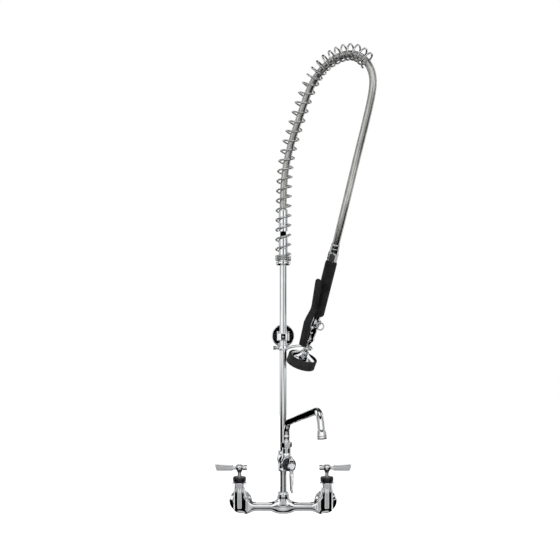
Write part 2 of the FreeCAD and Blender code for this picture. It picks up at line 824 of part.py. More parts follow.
def spring_base():
    """What the overhead spring stands on at the riser's top, and the fixed half of the hose's swivel."""
    at = frame(0, "-stand_off", 0)
    piece("spring_seat", turned([
        ("pipe_dia / 2", "spring_seat_bottom"), ("spring_seat_dia / 2 - 3", "spring_seat_bottom"),
        ("spring_seat_dia / 2", "spring_seat_bottom + 3"), ("spring_seat_dia / 2", "spring_seat_top"),
        ("pipe_dia / 2", "spring_seat_top"),
    ]), at)
    adapter = turned([
        ("pipe_dia / 2", "spring_seat_top"), ("adapter_dia / 2", "spring_seat_top"),
        ("adapter_dia / 2", "adapter_top"), ("stub_dia / 2", "adapter_top"),
        ("stub_dia / 2", "stub_top - 3"), ("stub_dia / 2 + 0.8", "stub_top - 3"),
        ("stub_dia / 2 + 0.8", "stub_top"),
        ("pipe_bore / 2", "stub_top"), ("pipe_bore / 2", "riser_top"), ("pipe_dia / 2", "riser_top"),
    ])
    piece("hose_adapter", adapter, at)
    nut = cut(
        hexagon("swivel_nut_flats", "adapter_top + 0.3", "swivel_nut_top"),
        rod("adapter_top", "swivel_nut_top + 1", "stub_dia / 2 + 0.05"),
        rod("stub_top - 3.3", "swivel_nut_top + 1", "stub_dia / 2 + 1.1"),
    )
    piece("swivel_nut", nut, at)
    ferrule = turned([
        ("hose_bore / 2 - 1.3", "stub_top + 0.3"), ("stub_dia / 2 + 1.1", "stub_top + 0.3"),
        ("stub_dia / 2 + 1.1", "swivel_nut_top"), ("adapter_dia / 2", "swivel_nut_top"),
        ("adapter_dia / 2", "hose_start"), ("hose_bore / 2 - 1.3", "hose_start"),
    ])
    piece("hose_ferrule_riser", ferrule, at)


def valve_frame():
    """The spray valve's lower axis, with +X towards its squeeze lever."""
    return frame(
        "valve_x", "-stand_off - valve_y", "valve_z", size["valve_heading"], size["valve_lean"], -90
    )


def grip_frame():
    bend = Placement(Vector(0, 0, size["grip_place"]), Rotation(Vector(0, 1, 0), size["grip_bend"]))
    return valve_frame() * bend


def hose_and_spring():
    """The hose from the riser over to the spray valve, and the spring that carries it."""
    arch = frame(0, "-stand_off", 0, size["arch_turn"])
    grip = grip_frame()
    end = grip.multVec(Vector(0, 0, size["hose_end"]))
    above = grip.multVec(Vector(0, 0, size["hose_end"] + HOSE_LAST_RUN))
    route = [arch.multVec(Vector(reach, 0, height)) for reach, height in HOSE_ARCH] + [above, end]
    wire = route_wire(route)
    hose = swept(wire, size["hose_dia"], size["hose_bore"])
    section = math.pi / 4 * (size["hose_dia"] ** 2 - size["hose_bore"] ** 2)
    print("hose radii", [round(r) for r in corner_radii(route)])
    print("hose runs", [round((b - a).Length) for a, b in zip(route, route[1:])])
    print("hose length", round(wire.Length, 1))
    print("hose volume over section and length", round(hose.Volume / section / wire.Length, 4))
    print("hose route", [tuple(round(c, 1) for c in point) for point in route])
    shaped("flex_hose", hose)
    spring_wire = route_wire([arch.multVec(Vector(reach, 0, height)) for reach, height in SPRING_ARCH])
    print("spring length", round(spring_wire.Length, 1))
    shaped("overhead_spring", swept(
        spring_wire, size["spring_dia"], size["spring_dia"] - 2 * size["spring_wire_dia"]
    ))


def spray_valve():
    """The squeeze valve on the hose's end: lower body and spray head, then the grip and the hose's nut."""
    at = valve_frame()
    grip = grip_frame()
    lower = fuse(
        rod("-cone_top", "barrel_start", "neck_tube_dia / 2"),
        rod("barrel_start - 4", "barrel_start + 4", "neck_tube_dia / 2", "barrel_dia / 2"),
        rod("barrel_start + 4", "barrel_end", "barrel_dia / 2"),
        rod("barrel_end", "grip_place", "barrel_dia / 2", "inner_tube_dia / 2"),
        rod("0", "plunger_boss_reach", "plunger_boss_dia / 2", axis="x", z="plunger_place"),
        block("pivot_reach + 3", "lever_width - 2 * lever_plate - 0.8", "9", "0",
              "lever_plate + 0.4 - lever_width / 2", "pivot_place - 3"),
    )
    bend = at.inverse() * grip
    tube_radius, bore_radius = "inner_tube_dia / 2", "inner_tube_dia / 2 - 2.6"
    upper = moved(fuse(ball(tube_radius), rod("0", "inner_tube_top", tube_radius)), bend)
    bore_up = moved(fuse(ball(bore_radius), rod("0", "inner_tube_top + 1", bore_radius)), bend)
    body = cut(
        fuse(lower, upper),
        rod("-cone_top - 1", "plunger_place - 6", "3.5"),
        rod("plunger_place - 6.5", "grip_place", bore_radius),
        bore_up,
        rod("0", "plunger_boss_reach + 1", "plunger_dia / 2 + 0.05", axis="x", z="plunger_place"),
        rod("spring_chamber_start", "plunger_boss_reach - 1", "5", axis="x", z="plunger_place"),
    )
    eye = ring("-eye_thickness / 2", "eye_thickness / 2", "eye_dia", "eye_hole_dia")
    moved(eye, at.inverse() * ring_line(at))
    across = hinge_line()
    pin_hole = moved(bar("-lever_width", "lever_width", "pivot_pin_dia"), across)
    piece("spray_valve_body", fuse(cut(body, pin_hole), eye), at)
    ring_middle = Placement(Vector(0, 0, -size["ring_radius"]), Rotation())
    facing = Rotation(Vector(0, 0, 1), size["ring_heading"]) * Rotation(Vector(1, 0, 0), 90)
    hung = Placement(ring_line(at).Base, Rotation()) * ring_middle * Placement(Vector(), facing)
    shaped("hold_ring", Part.makeTorus(size["ring_radius"], size["ring_wire_dia"] / 2), hung)
    pin = bar("-lever_width / 2 - 0.6", "lever_width / 2 + 0.6", "pivot_pin_dia")
    piece("lever_pin", pin, at * across)
    spray_head(at)
    squeeze_lever(at)
    grip_end(grip)


def ring_line(at):
    """The hold-down ring's hinge, in the row frame: the middle of the body's eye, with +Z through it."""
    middle = at.multVec(Vector(0, size["eye_offset"], size["eye_place"]))
    return Placement(middle, Rotation(Vector(0, 0, 1), size["ring_heading"]) * TO_AXIS["x"])


def hinge_line():
    """The squeeze lever's hinge in the valve's frame: +Z along the pin."""
    return Placement(Vector(size["pivot_reach"], 0, size["pivot_place"]), Rotation(Vector(1, 0, 0), 90))


def spray_head(at):
    cone = turned([
        ("neck_tube_dia / 2", "2 - cone_top"), ("neck_foot_dia / 2", "2 - cone_top"),
        ("neck_foot_dia / 2", "-cone_top"), ("cone_dia / 2", "-cone_bottom"),
        ("cone_dia / 2", "-skirt_bottom"), ("cone_dia / 2 - 2", "-skirt_bottom"),
        ("cone_dia / 2 - 2", "-cone_bottom - 2"), ("neck_foot_dia / 2", "-cone_top - 4"),
        ("3.5", "-cone_top - 4"), ("3.5", "-cone_top"), ("neck_tube_dia / 2", "-cone_top"),
    ])
    piece("spray_cone", cone, at)
    piece("rubber_bumper", turned([
        ("cone_dia / 2", "-bumper_top"), ("bumper_dia / 2 - 1.5", "-bumper_top"),
        ("bumper_dia / 2", "-bumper_top - 2"), ("bumper_dia / 2", "1.5 - bumper_bottom"),
        ("bumper_dia / 2 - 1.5", "-bumper_bottom"), ("cone_dia / 2 - 2", "-bumper_bottom"),
        ("cone_dia / 2 - 2", "-skirt_bottom"), ("cone_dia / 2", "-skirt_bottom"),
    ]), at)
    holes = []
    for count, radius in ((6, 7.5), (12, 13.5), (18, 19.5), (24, 25)):
        for i in range(count):
            angle = 2 * math.pi * i / count
            holes.append(rod(
                "-face_place - face_thickness - 1", "1 - face_place", "0.9",
                x=round(radius * math.cos(angle), 3), y=round(radius * math.sin(angle), 3),
            ))
    face = cut(
        rod("-face_place - face_thickness", "-face_place", "cone_dia / 2 - 2"),
        rod("-face_place - face_thickness - 1", "1 - face_place", "2.5"),
        *holes,
    )
    piece("spray_face", face, at)
    screw = fuse(
        rod("-face_place - face_thickness", "-cone_top - 4", "2.5"),
        rod("-face_place - face_thickness - 2.5", "-face_place - face_thickness", "4.5"),
    )
    slots = [block("1.2", "12", "3", "-0.6", "-6", "-face_place - face_thickness - 4")]
    ports = rod("-cone_top - 9", "-cone_top - 3", "1.6")
    piece("face_screw", cut(screw, ports, *slots), at)


def squeeze_lever(at):
    """The lever, a bent strip with side flanges at its hinge, and the plunger that it pushes."""
    plate_half = "lever_plate / 2"
    points = [(worth(r), worth(z)) for r, z in LEVER_LINE]
    outer = plate(
        [(f"{r} + {plate_half}", f"{z}") for r, z in points]
        + [(f"{r} - {plate_half}", f"{z}") for r, z in reversed(points)],
        "lever_width",
    )
    cheek = plate(
        [
            ("pivot_reach - 4", "pivot_place - 4"), LEVER_LINE[0], LEVER_LINE[1],
            ("28.4", "80"), ("26", "80"), ("25", "62"), ("pivot_reach - 0.5", "pivot_place + 7"),
        ],
        "lever_width",
    )
    gap = block("60", "lever_width - 2 * lever_plate", "120", "-10", "lever_plate - lever_width / 2", "-30")
    pin_hole = moved(bar("-lever_width", "lever_width", "pivot_pin_dia + 0.1"), hinge_line())
    lever = cut(fuse(outer, cut(cheek, gap)), pin_hole)
    piece("squeeze_lever", lever, at)
    collar_start = "spring_chamber_end - 4"
    plunger = fuse(
        rod("-2", "plunger_tip", "plunger_dia / 2", axis="x", z="plunger_place"),
        rod(collar_start, "spring_chamber_end - 2.5", "4.4", axis="x", z="plunger_place"),
    )
    piece("plunger", plunger, at)
    coil_end = "plunger_coil_start + plunger_coil_length"
    across = {"axis": "x", "z": "plunger_place"}
    piece("plunger_spring", cut(
        rod("plunger_coil_start", coil_end, "plunger_coil_dia / 2", **across),
        rod("plunger_coil_start - 1", coil_end + " + 1", "plunger_coil_dia / 2 - 0.8", **across),
    ), at)
    gland = cut(
        rod("spring_chamber_end", "plunger_boss_reach - 1", "5", axis="x", z="plunger_place"),
        rod("0", "20", "plunger_dia / 2 + 0.05", axis="x", z="plunger_place"),
    )
    piece("plunger_seal", gland, at)


def grip_end(at):
    """The plastic grip, the ring under it, and the nut and sleeve that end the hose."""
    piece("grip", turned([
        ("inner_tube_dia / 2", "grip_bottom"), ("grip_dia / 2 - 2", "grip_bottom"),
        ("grip_dia / 2", "grip_bottom + 3"), ("grip_dia / 2", "grip_top - 4"),
        ("grip_dia / 2 - 3", "grip_top"), ("inner_tube_dia / 2", "grip_top"),
    ]), at)
    nut = cut(
        hexagon("hose_nut_flats", "grip_top", "hose_nut_top"),
        rod("grip_top - 1", "inner_tube_top", "inner_tube_dia / 2"),
        rod("grip_top", "hose_nut_top + 1", "inner_tube_dia / 2 - 2.6"),
    )
    piece("hose_nut", nut, at)
    piece("hose_ferrule_valve", ring("hose_nut_top", "hose_end", "hose_sleeve_dia", "hose_bore - 2.6"), at)


quarter_turn_valve("hot", frame("-inlet_spacing / 2", "-stand_off", "post_top", 180), 0)
quarter_turn_valve("cold", frame("inlet_spacing / 2", "-stand_off", "post_top"), 0)
faucet_face = frame(0, "-stand_off", "addon_axis", size["addon_turn"]) * Placement(
    Vector(0, -size["addon_face"], 0), TO_AXIS["-y"]
)
quarter_turn_valve("addon", faucet_face, -90)
mixing_body()
inlets()
riser()
addon_faucet()
swing_nozzle()
wall_bracket()
valve_holder()
spring_base()
hose_and_spring()
spray_valve()
for label, things in alike.items():
    group(label, things)

doc.recompute()
for thing in doc.Objects:
    if "Invalid" in thing.State or "Error" in thing.State:
        raise RuntimeError(f"{thing.Label} failed: {thing.State}")
os.makedirs("parts", exist_ok=True)
for thing in pieces:
    if thing.Shape.isNull() or not thing.Shape.isValid():
        raise RuntimeError(f"{thing.Label} has no valid shape")
    thing.Shape.exportStep(f"parts/{thing.Label}.step")
print(len(pieces), "pieces")
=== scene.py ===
"""Wall-mounted pre-rinse faucet: the visible pieces, their materials, the studio and the camera. In metres."""

import math

import bmesh
import bpy
import numpy as np
from mathutils import Matrix, Vector


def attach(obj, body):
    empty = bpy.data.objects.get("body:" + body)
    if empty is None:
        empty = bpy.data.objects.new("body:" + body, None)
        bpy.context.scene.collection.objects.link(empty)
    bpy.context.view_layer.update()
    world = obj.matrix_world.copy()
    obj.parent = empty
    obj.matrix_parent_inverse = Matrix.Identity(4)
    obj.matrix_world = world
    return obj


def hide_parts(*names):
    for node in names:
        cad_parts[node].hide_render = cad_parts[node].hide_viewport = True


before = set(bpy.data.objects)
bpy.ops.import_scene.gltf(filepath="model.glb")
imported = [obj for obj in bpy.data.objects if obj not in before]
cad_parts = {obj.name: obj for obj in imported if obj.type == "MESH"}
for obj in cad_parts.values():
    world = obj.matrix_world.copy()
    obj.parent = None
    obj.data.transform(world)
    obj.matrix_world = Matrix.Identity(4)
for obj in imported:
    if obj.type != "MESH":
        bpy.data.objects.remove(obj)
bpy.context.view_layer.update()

MM = 0.001
ARCH_BODY = "hose_arch"
FIXED_BODY = "fixed_body"

# Where things are, from the same driving dimensions as the CAD model.
RISER = Vector((0, -0.062, 0))
INLET_X = 0.1016
VALVE_RIM = 0.0456
ADDON_AXIS = 0.112
ADDON_TURN = 10.5
NOZZLE_OUT = 0.040
GRIP_BEND_HEIGHT = 0.080
GRIP_BEND = 9
HOSE_DIAMETER = 0.016
HOSE_RIDGE = 0.00004
HOSE_PITCH = 0.0024
SPRING_RADIUS = 0.0165
SPRING_WIRE = 0.0020
SPRING_PITCH = 0.0225
SPRING_TOP_PITCH = 0.0165
SPRING_OPEN_LENGTH = 0.42
SPRING_CLOSE_PITCH = 0.0042
SPRING_CLOSE_LENGTH = 0.012
SPRING_FOOT = 0.5735
BRACKET_HEIGHT = 0.395
HOLDER_HEIGHT = 0.3694
FLOOR_HEIGHT = -0.60
FLOOR_SIZE = 6.0

# The hose's route, as in the CAD model: the control points of its line.
HOSE_ROUTE = [
    (0.0, -0.062, 0.692),
    (0.0, -0.062, 0.752),
    (0.013, -0.0729, 0.826),
    (0.0352, -0.0916, 0.892),
    (0.0613, -0.1134, 0.966),
    (0.0904, -0.1378, 1.003),
    (0.121, -0.1636, 1.018),
    (0.1471, -0.1854, 1.019),
    (0.1693, -0.2041, 1.0063),
    (0.1854, -0.2176, 0.983),
    (0.1927, -0.2237, 0.953),
    (0.1892, -0.2208, 0.918),
    (0.177, -0.2105, 0.862),
    (0.157, -0.1938, 0.78),
    (0.1276, -0.1994, 0.6578),
    (0.1153, -0.1756, 0.6040),
]
# The overhead spring's middle line, as in the CAD model. The hose lies on the lower side of it at the top.
SPRING_ROUTE = [
    (0.0, -0.062, 0.572),
    (0.0, -0.062, 0.75),
    (0.0107, -0.071, 0.828),
    (0.0329, -0.0896, 0.895),
    (0.059, -0.1115, 0.97),
    (0.0889, -0.1366, 1.009),
    (0.1218, -0.1642, 1.023),
    (0.1486, -0.1867, 1.0235),
    (0.1697, -0.2044, 1.0105),
    (0.1823, -0.2150, 0.992),
]


def turn(axis, degrees):
    return Matrix.Rotation(math.radians(degrees), 4, axis)


def shift(x, y, z):
    return Matrix.Translation((x, y, z))


VALVE = shift(0.0536, -0.0826, 0.3722) @ turn("Z", -42) @ turn("Y", 25) @ turn("Z", -90)
GRIP = VALVE @ shift(0, 0, GRIP_BEND_HEIGHT) @ turn("Y", GRIP_BEND)
TO_FRONT = turn("X", 90)


# ---------------------------------------------------------------- materials

def material(name, color, metallic=0.0, roughness=0.5):
    mat = bpy.data.materials.new(name)
    mat.use_nodes = True
    shader = mat.node_tree.nodes["Principled BSDF"]
    shader.inputs["Base Color"].default_value = (*color, 1)
    shader.inputs["Metallic"].default_value = metallic
    shader.inputs["Roughness"].default_value = roughness
    return mat, mat.node_tree, shader


def noise(tree, scale):
    """A noise texture in the object's own coordinates."""
    where = tree.nodes.new("ShaderNodeTexCoord")
    texture = tree.nodes.new("ShaderNodeTexNoise")
    texture.inputs["Scale"].default_value = scale
    texture.inputs["Detail"].default_value = 3.0
    tree.links.new(where.outputs["Object"], texture.inputs["Vector"])
    return texture.outputs["Fac"]


def spread(tree, source, low, high):
    """Maps the middle of a texture's range onto low to high."""
    span = tree.nodes.new("ShaderNodeMapRange")
    span.inputs["From Min"].default_value = 0.3
    span.inputs["From Max"].default_value = 0.7
    span.inputs["To Min"].default_value = low
    span.inputs["To Max"].default_value = high
    tree.links.new(source, span.inputs["Value"])
    return span.outputs["Result"]


def tint(tree, source, dark, light):
    """Runs a texture through two colours."""
    ramp = tree.nodes.new("ShaderNodeValToRGB")
    ramp.color_ramp.elements[0].position = 0.3
    ramp.color_ramp.elements[0].color = (*dark, 1)
    ramp.color_ramp.elements[1].position = 0.7
    ramp.color_ramp.elements[1].color = (*light, 1)
    tree.links.new(source, ramp.inputs["Fac"])
    return ramp.outputs["Color"]


def bump(tree, shader, source, strength, distance):
    node = tree.nodes.new("ShaderNodeBump")
    node.inputs["Strength"].default_value = strength
    node.inputs["Distance"].default_value = distance
    tree.links.new(source, node.inputs["Height"])
    tree.links.new(node.outputs["Normal"], shader.inputs["Normal"])


def metal(name, dark, light, rough, grain=700.0):
    """Metal whose colour and gloss vary a little, with a fine grain."""
    mat, tree, shader = material(name, light, metallic=1.0)
    cloud = noise(tree, 45.0)
    tree.links.new(tint(tree, cloud, dark, light), shader.inputs["Base Color"])
    fine = noise(tree, grain)
    tree.links.new(spread(tree, fine, *rough), shader.inputs["Roughness"])
    bump(tree, shader, fine, 0.05, 0.00002)
    return mat


def dielectric(name, dark, light, rough, grain, strength, distance, gloss=0.5):
    """Rubber or plastic: mottled colour, uneven gloss and a fine surface grain."""
    mat, tree, shader = material(name, light)
    shader.inputs["Specular IOR Level"].default_value = gloss
    tree.links.new(tint(tree, noise(tree, 60.0), dark, light), shader.inputs["Base Color"])
    fine = noise(tree, grain)
    tree.links.new(spread(tree, fine, *rough), shader.inputs["Roughness"])
    bump(tree, shader, fine, strength, distance)
    return mat


CHROME = metal("chrome_plate", (0.80, 0.81, 0.83), (0.90, 0.91, 0.92), (0.035, 0.075))
CAST_CHROME = metal("chrome_on_casting", (0.78, 0.79, 0.81), (0.89, 0.90, 0.91), (0.05, 0.11), grain=260.0)
STEEL = metal("stainless_steel", (0.60, 0.61, 0.62), (0.78, 0.79, 0.80), (0.16, 0.28))
SPRING_STEEL = metal("spring_wire", (0.64, 0.645, 0.65), (0.78, 0.785, 0.79), (0.12, 0.20))
HOSE_STEEL = metal("hose_steel", (0.50, 0.495, 0.48), (0.64, 0.635, 0.615), (0.26, 0.34))
# Chrome coloured near black: on the bonnet caps this is a painted dark reflection, on the flange's countersinks it is
# painted shade in the holes.
CHROME_PAINTED_DARK_REFLECTION_AND_SHADE = metal("chrome_painted_dark_reflection_and_shade", (0.045, 0.046, 0.05), (0.09, 0.092, 0.098), (0.08, 0.14))
BRASS = metal("brass", (0.55, 0.40, 0.18), (0.75, 0.58, 0.30), (0.18, 0.30))
RUBBER = dielectric(
    "black_rubber", (0.010, 0.010, 0.011), (0.022, 0.022, 0.023), (0.42, 0.60), 900.0, 0.25, 0.00006, gloss=0.16
)
GRIP_PLASTIC = dielectric(
    "grip_plastic", (0.006, 0.006, 0.007), (0.014, 0.014, 0.015), (0.30, 0.42), 1200.0, 0.2, 0.00004, gloss=0.14
)
LEVER_COAT = dielectric(
    "lever_coating", (0.007, 0.007, 0.008), (0.016, 0.016, 0.018), (0.28, 0.38), 800.0, 0.2, 0.00005, gloss=0.2
)
CERAMIC = dielectric("ceramic", (0.78, 0.77, 0.74), (0.88, 0.87, 0.84), (0.15, 0.25), 500.0, 0.05, 0.00002)
NYLON = dielectric("nylon", (0.60, 0.61, 0.62), (0.72, 0.73, 0.74), (0.35, 0.50), 500.0, 0.1, 0.00003)
INDEX = dielectric("index_button", (0.50, 0.51, 0.53), (0.62, 0.63, 0.65), (0.2, 0.3), 500.0, 0.05, 0.00002)


# ---------------------------------------------------------------- mesh helpers

def mesh_object(name, verts, faces, mat, sharp):
    mesh = bpy.data.meshes.new(name)
    mesh.from_pydata([tuple(v) for v in verts], [], faces)
    mesh.validate()
    mesh.materials.append(mat)
    obj = bpy.data.objects.new(name, mesh)
    bpy.context.scene.collection.objects.link(obj)
    shade(obj, sharp)
    return obj


def shade(obj, sharp):
    """Outward normals, smooth shading, and sharp edges where faces meet at more than an angle."""
    bm = bmesh.new()
    bm.from_mesh(obj.data)
    bmesh.ops.recalc_face_normals(bm, faces=bm.faces)
    for face in bm.faces:
        face.smooth = True
    for edge in bm.edges:
        if len(edge.link_faces) == 2 and edge.calc_face_angle(0) > math.radians(sharp):
            edge.smooth = False
    bm.to_mesh(obj.data)
    bm.free()


def put(obj, body, node):
    """The piece moves with a body and stands for a CAD node."""
    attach(obj, body)
    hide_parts(node)


def tube_faces(rings, count, closed=False):
    """The quads between rings of points; closed joins the last ring to the first."""
    faces = []
    for j in range(rings if closed else rings - 1):
        here, after = j * count, (j + 1) % rings * count
        for i in range(count):
            k = (i + 1) % count
            faces.append((here + i, here + k, after + k, after + i))
    return faces


def capped_tube_faces(rings, count):
    """The quads between rings of points, and a cap at each end."""
    last = (rings - 1) * count
    caps = [tuple(range(count - 1, -1, -1)), tuple(last + i for i in range(count))]
    return tube_faces(rings, count) + caps


def rounded(corners, steps=5):
    """An outline of (radius, height) corners in millimetres; a third number rounds that corner."""
    out = []
    count = len(corners)
    for i, corner in enumerate(corners):
        here = Vector(corner[:2])
        if len(corner) < 3 or not 0 < i < count - 1:
            out.append(here)
            continue
        back = Vector(corners[i - 1][:2]) - here
        ahead = Vector(corners[i + 1][:2]) - here
        reach = min(corner[2], 0.49 * back.length, 0.49 * ahead.length)
        start, end = here + back.normalized() * reach, here + ahead.normalized() * reach
        for k in range(steps + 1):
            t = k / steps
            out.append(start * (1 - t) ** 2 + here * 2 * t * (1 - t) + end * t * t)
    return out


def lathe(name, corners, mat, at, count=72, limit=None, close=False, sharp=50):
    """Turns an outline about the upright axis; limit(angle, radius, height) may pull points in."""
    line = rounded(corners)
    verts = []
    for p in line:
        for i in range(count):
            angle = 2 * math.pi * i / count
            radius = p.x if limit is None else limit(angle, p.x, p.y)
            verts.append(at @ Vector((radius * math.cos(angle), radius * math.sin(angle), p.y)))
    obj = mesh_object(name, verts, tube_faces(len(line), count, close), mat, sharp)
    weld(obj)
    return obj


def weld(obj):
    """Merges the points that a turned outline leaves on its axis."""
    bm = bmesh.new()
    bm.from_mesh(obj.data)
    bmesh.ops.remove_doubles(bm, verts=bm.verts, dist=0.002 * MM)
    bm.to_mesh(obj.data)
    bm.free()


def mm(matrix):
    """A frame whose own units are millimetres."""
    return matrix @ Matrix.Scale(MM, 4)


def hexed(flats):
    """A limit that cuts a turned outline to a hexagon."""
    def limit(angle, radius, height):
        across = (angle % (math.pi / 3)) - math.pi / 6
        return min(radius, flats / 2 / math.cos(across))
    return limit


def join(name, parts):
    """Joins objects into one piece."""
    bpy.ops.object.select_all(action="DESELECT")
    for part in parts:
        part.select_set(True)
    bpy.context.view_layer.objects.active = parts[0]
    bpy.ops.object.join()
    parts[0].name = name
    parts[0].data.name = name
    return parts[0]


def route_points(name, route):
    """Points along the smooth line of a route, close together, read from its own spline."""
    curve = bpy.data.curves.new(name, "CURVE")
    curve.dimensions = "3D"
    spline = curve.splines.new("NURBS")
    spline.points.add(len(route) - 1)
    for point, place in zip(spline.points, route):
        point.co = (*place, 1)
    spline.order_u = 3
    spline.use_endpoint_u = True
    curve.resolution_u = 24
    obj = bpy.data.objects.new(name, curve)
    bpy.context.scene.collection.objects.link(obj)
    mesh = bpy.data.meshes.new_from_object(obj)
    points = np.array([tuple(v.co) for v in mesh.vertices])
    bpy.data.meshes.remove(mesh)
    bpy.data.objects.remove(obj)
    return points


def resampled(points, step):
    """The line's points at even steps, with its directions and lengths."""
    gaps = np.linalg.norm(np.diff(points, axis=0), axis=1)
    along = np.concatenate([[0], np.cumsum(gaps)])
    count = max(2, int(round(along[-1] / step)) + 1)
    want = np.linspace(0, along[-1], count)
    places = np.stack([np.interp(want, along, points[:, k]) for k in range(3)], axis=1)
    ahead = np.gradient(places, axis=0)
    ahead /= np.linalg.norm(ahead, axis=1)[:, None]
    return places, ahead, want


def frames(ahead, first):
    """Sideways directions carried along a line without twist."""
    side = np.array(first, float)
    side -= ahead[0] * side.dot(ahead[0])
    side /= np.linalg.norm(side)
    sides = [side]
    for direction in ahead[1:]:
        side = sides[-1] - direction * sides[-1].dot(direction)
        sides.append(side / np.linalg.norm(side))
    sides = np.array(sides)
    return sides, np.cross(ahead, sides)


def sweep(name, places, ahead, radii, mat, count):
    """A tube through the places, with one radius or a radius at each."""
    sides, ups = frames(ahead, (0, 1, 0))
    angles = np.linspace(0, 2 * np.pi, count, endpoint=False)
    around = np.cos(angles)[None, :, None] * sides[:, None, :] + np.sin(angles)[None, :, None] * ups[:, None, :]
    radii = np.broadcast_to(np.asarray(radii, float), (len(places),))
    verts = (places[:, None, :] + around * radii[:, None, None]).reshape(-1, 3)
    return mesh_object(name, verts, capped_tube_faces(len(places), count), mat, 50)


def smooth_path(points, step, radius=None):
    """Straight runs joined by round corners, as wide as they can be if no radius is given."""
    points = [Vector(p) for p in points]
    line = [points[0]]
    for before, here, after in zip(points, points[1:], points[2:]):
        back, ahead = before - here, after - here
        bend = math.pi - back.angle(ahead)
        most = 0.49 * min(back.length, ahead.length)
        widest = most / math.tan(bend / 2)
        size = widest if radius is None else min(radius, widest)
        reach = size * math.tan(bend / 2)
        back, ahead = back.normalized(), ahead.normalized()
        middle = here + (back + ahead).normalized() * (size / math.cos(bend / 2))
        start = here + back * reach - middle
        axis = start.cross(here + ahead * reach - middle).normalized()
        for k in range(17):
            line.append(middle + Matrix.Rotation(bend * k / 16, 3, axis) @ start)
    line.append(points[-1])
    places, ahead, _ = resampled(np.array([tuple(p) for p in line]), step)
    return places, ahead


# ---------------------------------------------------------------- hose and spring

HOSE_LINE = route_points("hose_line", HOSE_ROUTE)
SPRING_LINE = route_points("spring_line", SPRING_ROUTE)


def hose():
    """An interlocked steel hose: a strip wound in a fine spiral, each turn with a rolled edge."""
    places, ahead, along = resampled(HOSE_LINE, 0.0004)
    count = 32
    sides, ups = frames(ahead, (1, 0, 0))
    verts = []
    for place, side, up, length in zip(places, sides, ups, along):
        for i in range(count):
            angle = 2 * math.pi * i / count
            phase = (length / HOSE_PITCH + i / count) % 1.0
            ridge = HOSE_RIDGE * math.sin(math.pi * phase) ** 0.6
            radius = HOSE_DIAMETER / 2 - HOSE_RIDGE + ridge
            verts.append(place + (side * math.cos(angle) + up * math.sin(angle)) * radius)
    piece = mesh_object("flex_hose_steel", verts, capped_tube_faces(len(places), count), HOSE_STEEL, 70)
    put(piece, ARCH_BODY, "flex_hose")
    [tuple(p) for p in resampled(HOSE_LINE, 0.004)[0]]


def overhead_spring():
    """Wire wound around the spring's middle line: close at the foot, open, then closer over the top."""
    places, ahead, along = resampled(SPRING_LINE, 0.0008)
    sides, ups = frames(ahead, (1, 0, 0))
    total = along[-1]
    close_turns = SPRING_CLOSE_LENGTH / SPRING_CLOSE_PITCH
    open_turns = close_turns + (SPRING_OPEN_LENGTH - SPRING_CLOSE_LENGTH) / SPRING_PITCH
    turns = open_turns + (total - SPRING_OPEN_LENGTH) / SPRING_TOP_PITCH
    knots = (0, close_turns, open_turns, turns), (0, SPRING_CLOSE_LENGTH, SPRING_OPEN_LENGTH, total)
    steps = int(turns * 40)
    line = []
    for k in range(steps + 1):
        done = turns * k / steps
        length = float(np.interp(done, *knots))
        spot = min(int(length / total * (len(places) - 1)), len(places) - 2)
        part = length / total * (len(places) - 1) - spot
        middle = places[spot] * (1 - part) + places[spot + 1] * part
        angle = 2 * math.pi * done
        line.append(middle + (sides[spot] * math.cos(angle) + ups[spot] * math.sin(angle)) * SPRING_RADIUS)
    line = np.array(line)
    line[:, 2] = np.maximum(line[:, 2], SPRING_FOOT)
    way = np.gradient(line, axis=0)
    way /= np.linalg.norm(way, axis=1)[:, None]
    put(sweep("overhead_spring_wire", line, way, SPRING_WIRE, SPRING_STEEL, 14), ARCH_BODY, "overhead_spring")


hose()
overhead_spring()


# ---------------------------------------------------------------- castings from a smooth field

def bar_field(points, start, end, radius, end_radius=None, edge=1.2):
    """Distance to a straight bar, tapered where end_radius is given, with its rims rounded off."""
    a, b = np.array(start, float), np.array(end, float)
    span = np.linalg.norm(b - a)
    axis = (b - a) / span
    along = (points - a) @ axis
    away = np.linalg.norm(points - a - along[:, None] * axis, axis=1)
    share = np.clip(along / span, 0, 1)
    wide = radius + (0 if end_radius is None else end_radius - radius) * share
    side, cap = away - wide, np.maximum(-along, along - span)
    return -blend_fields(-side, -cap, edge)


def blend_fields(a, b, reach):
    """The union of two fields with a fillet."""
    near = np.maximum(reach - np.abs(a - b), 0) / reach
    return np.minimum(a, b) - near * near * reach / 4


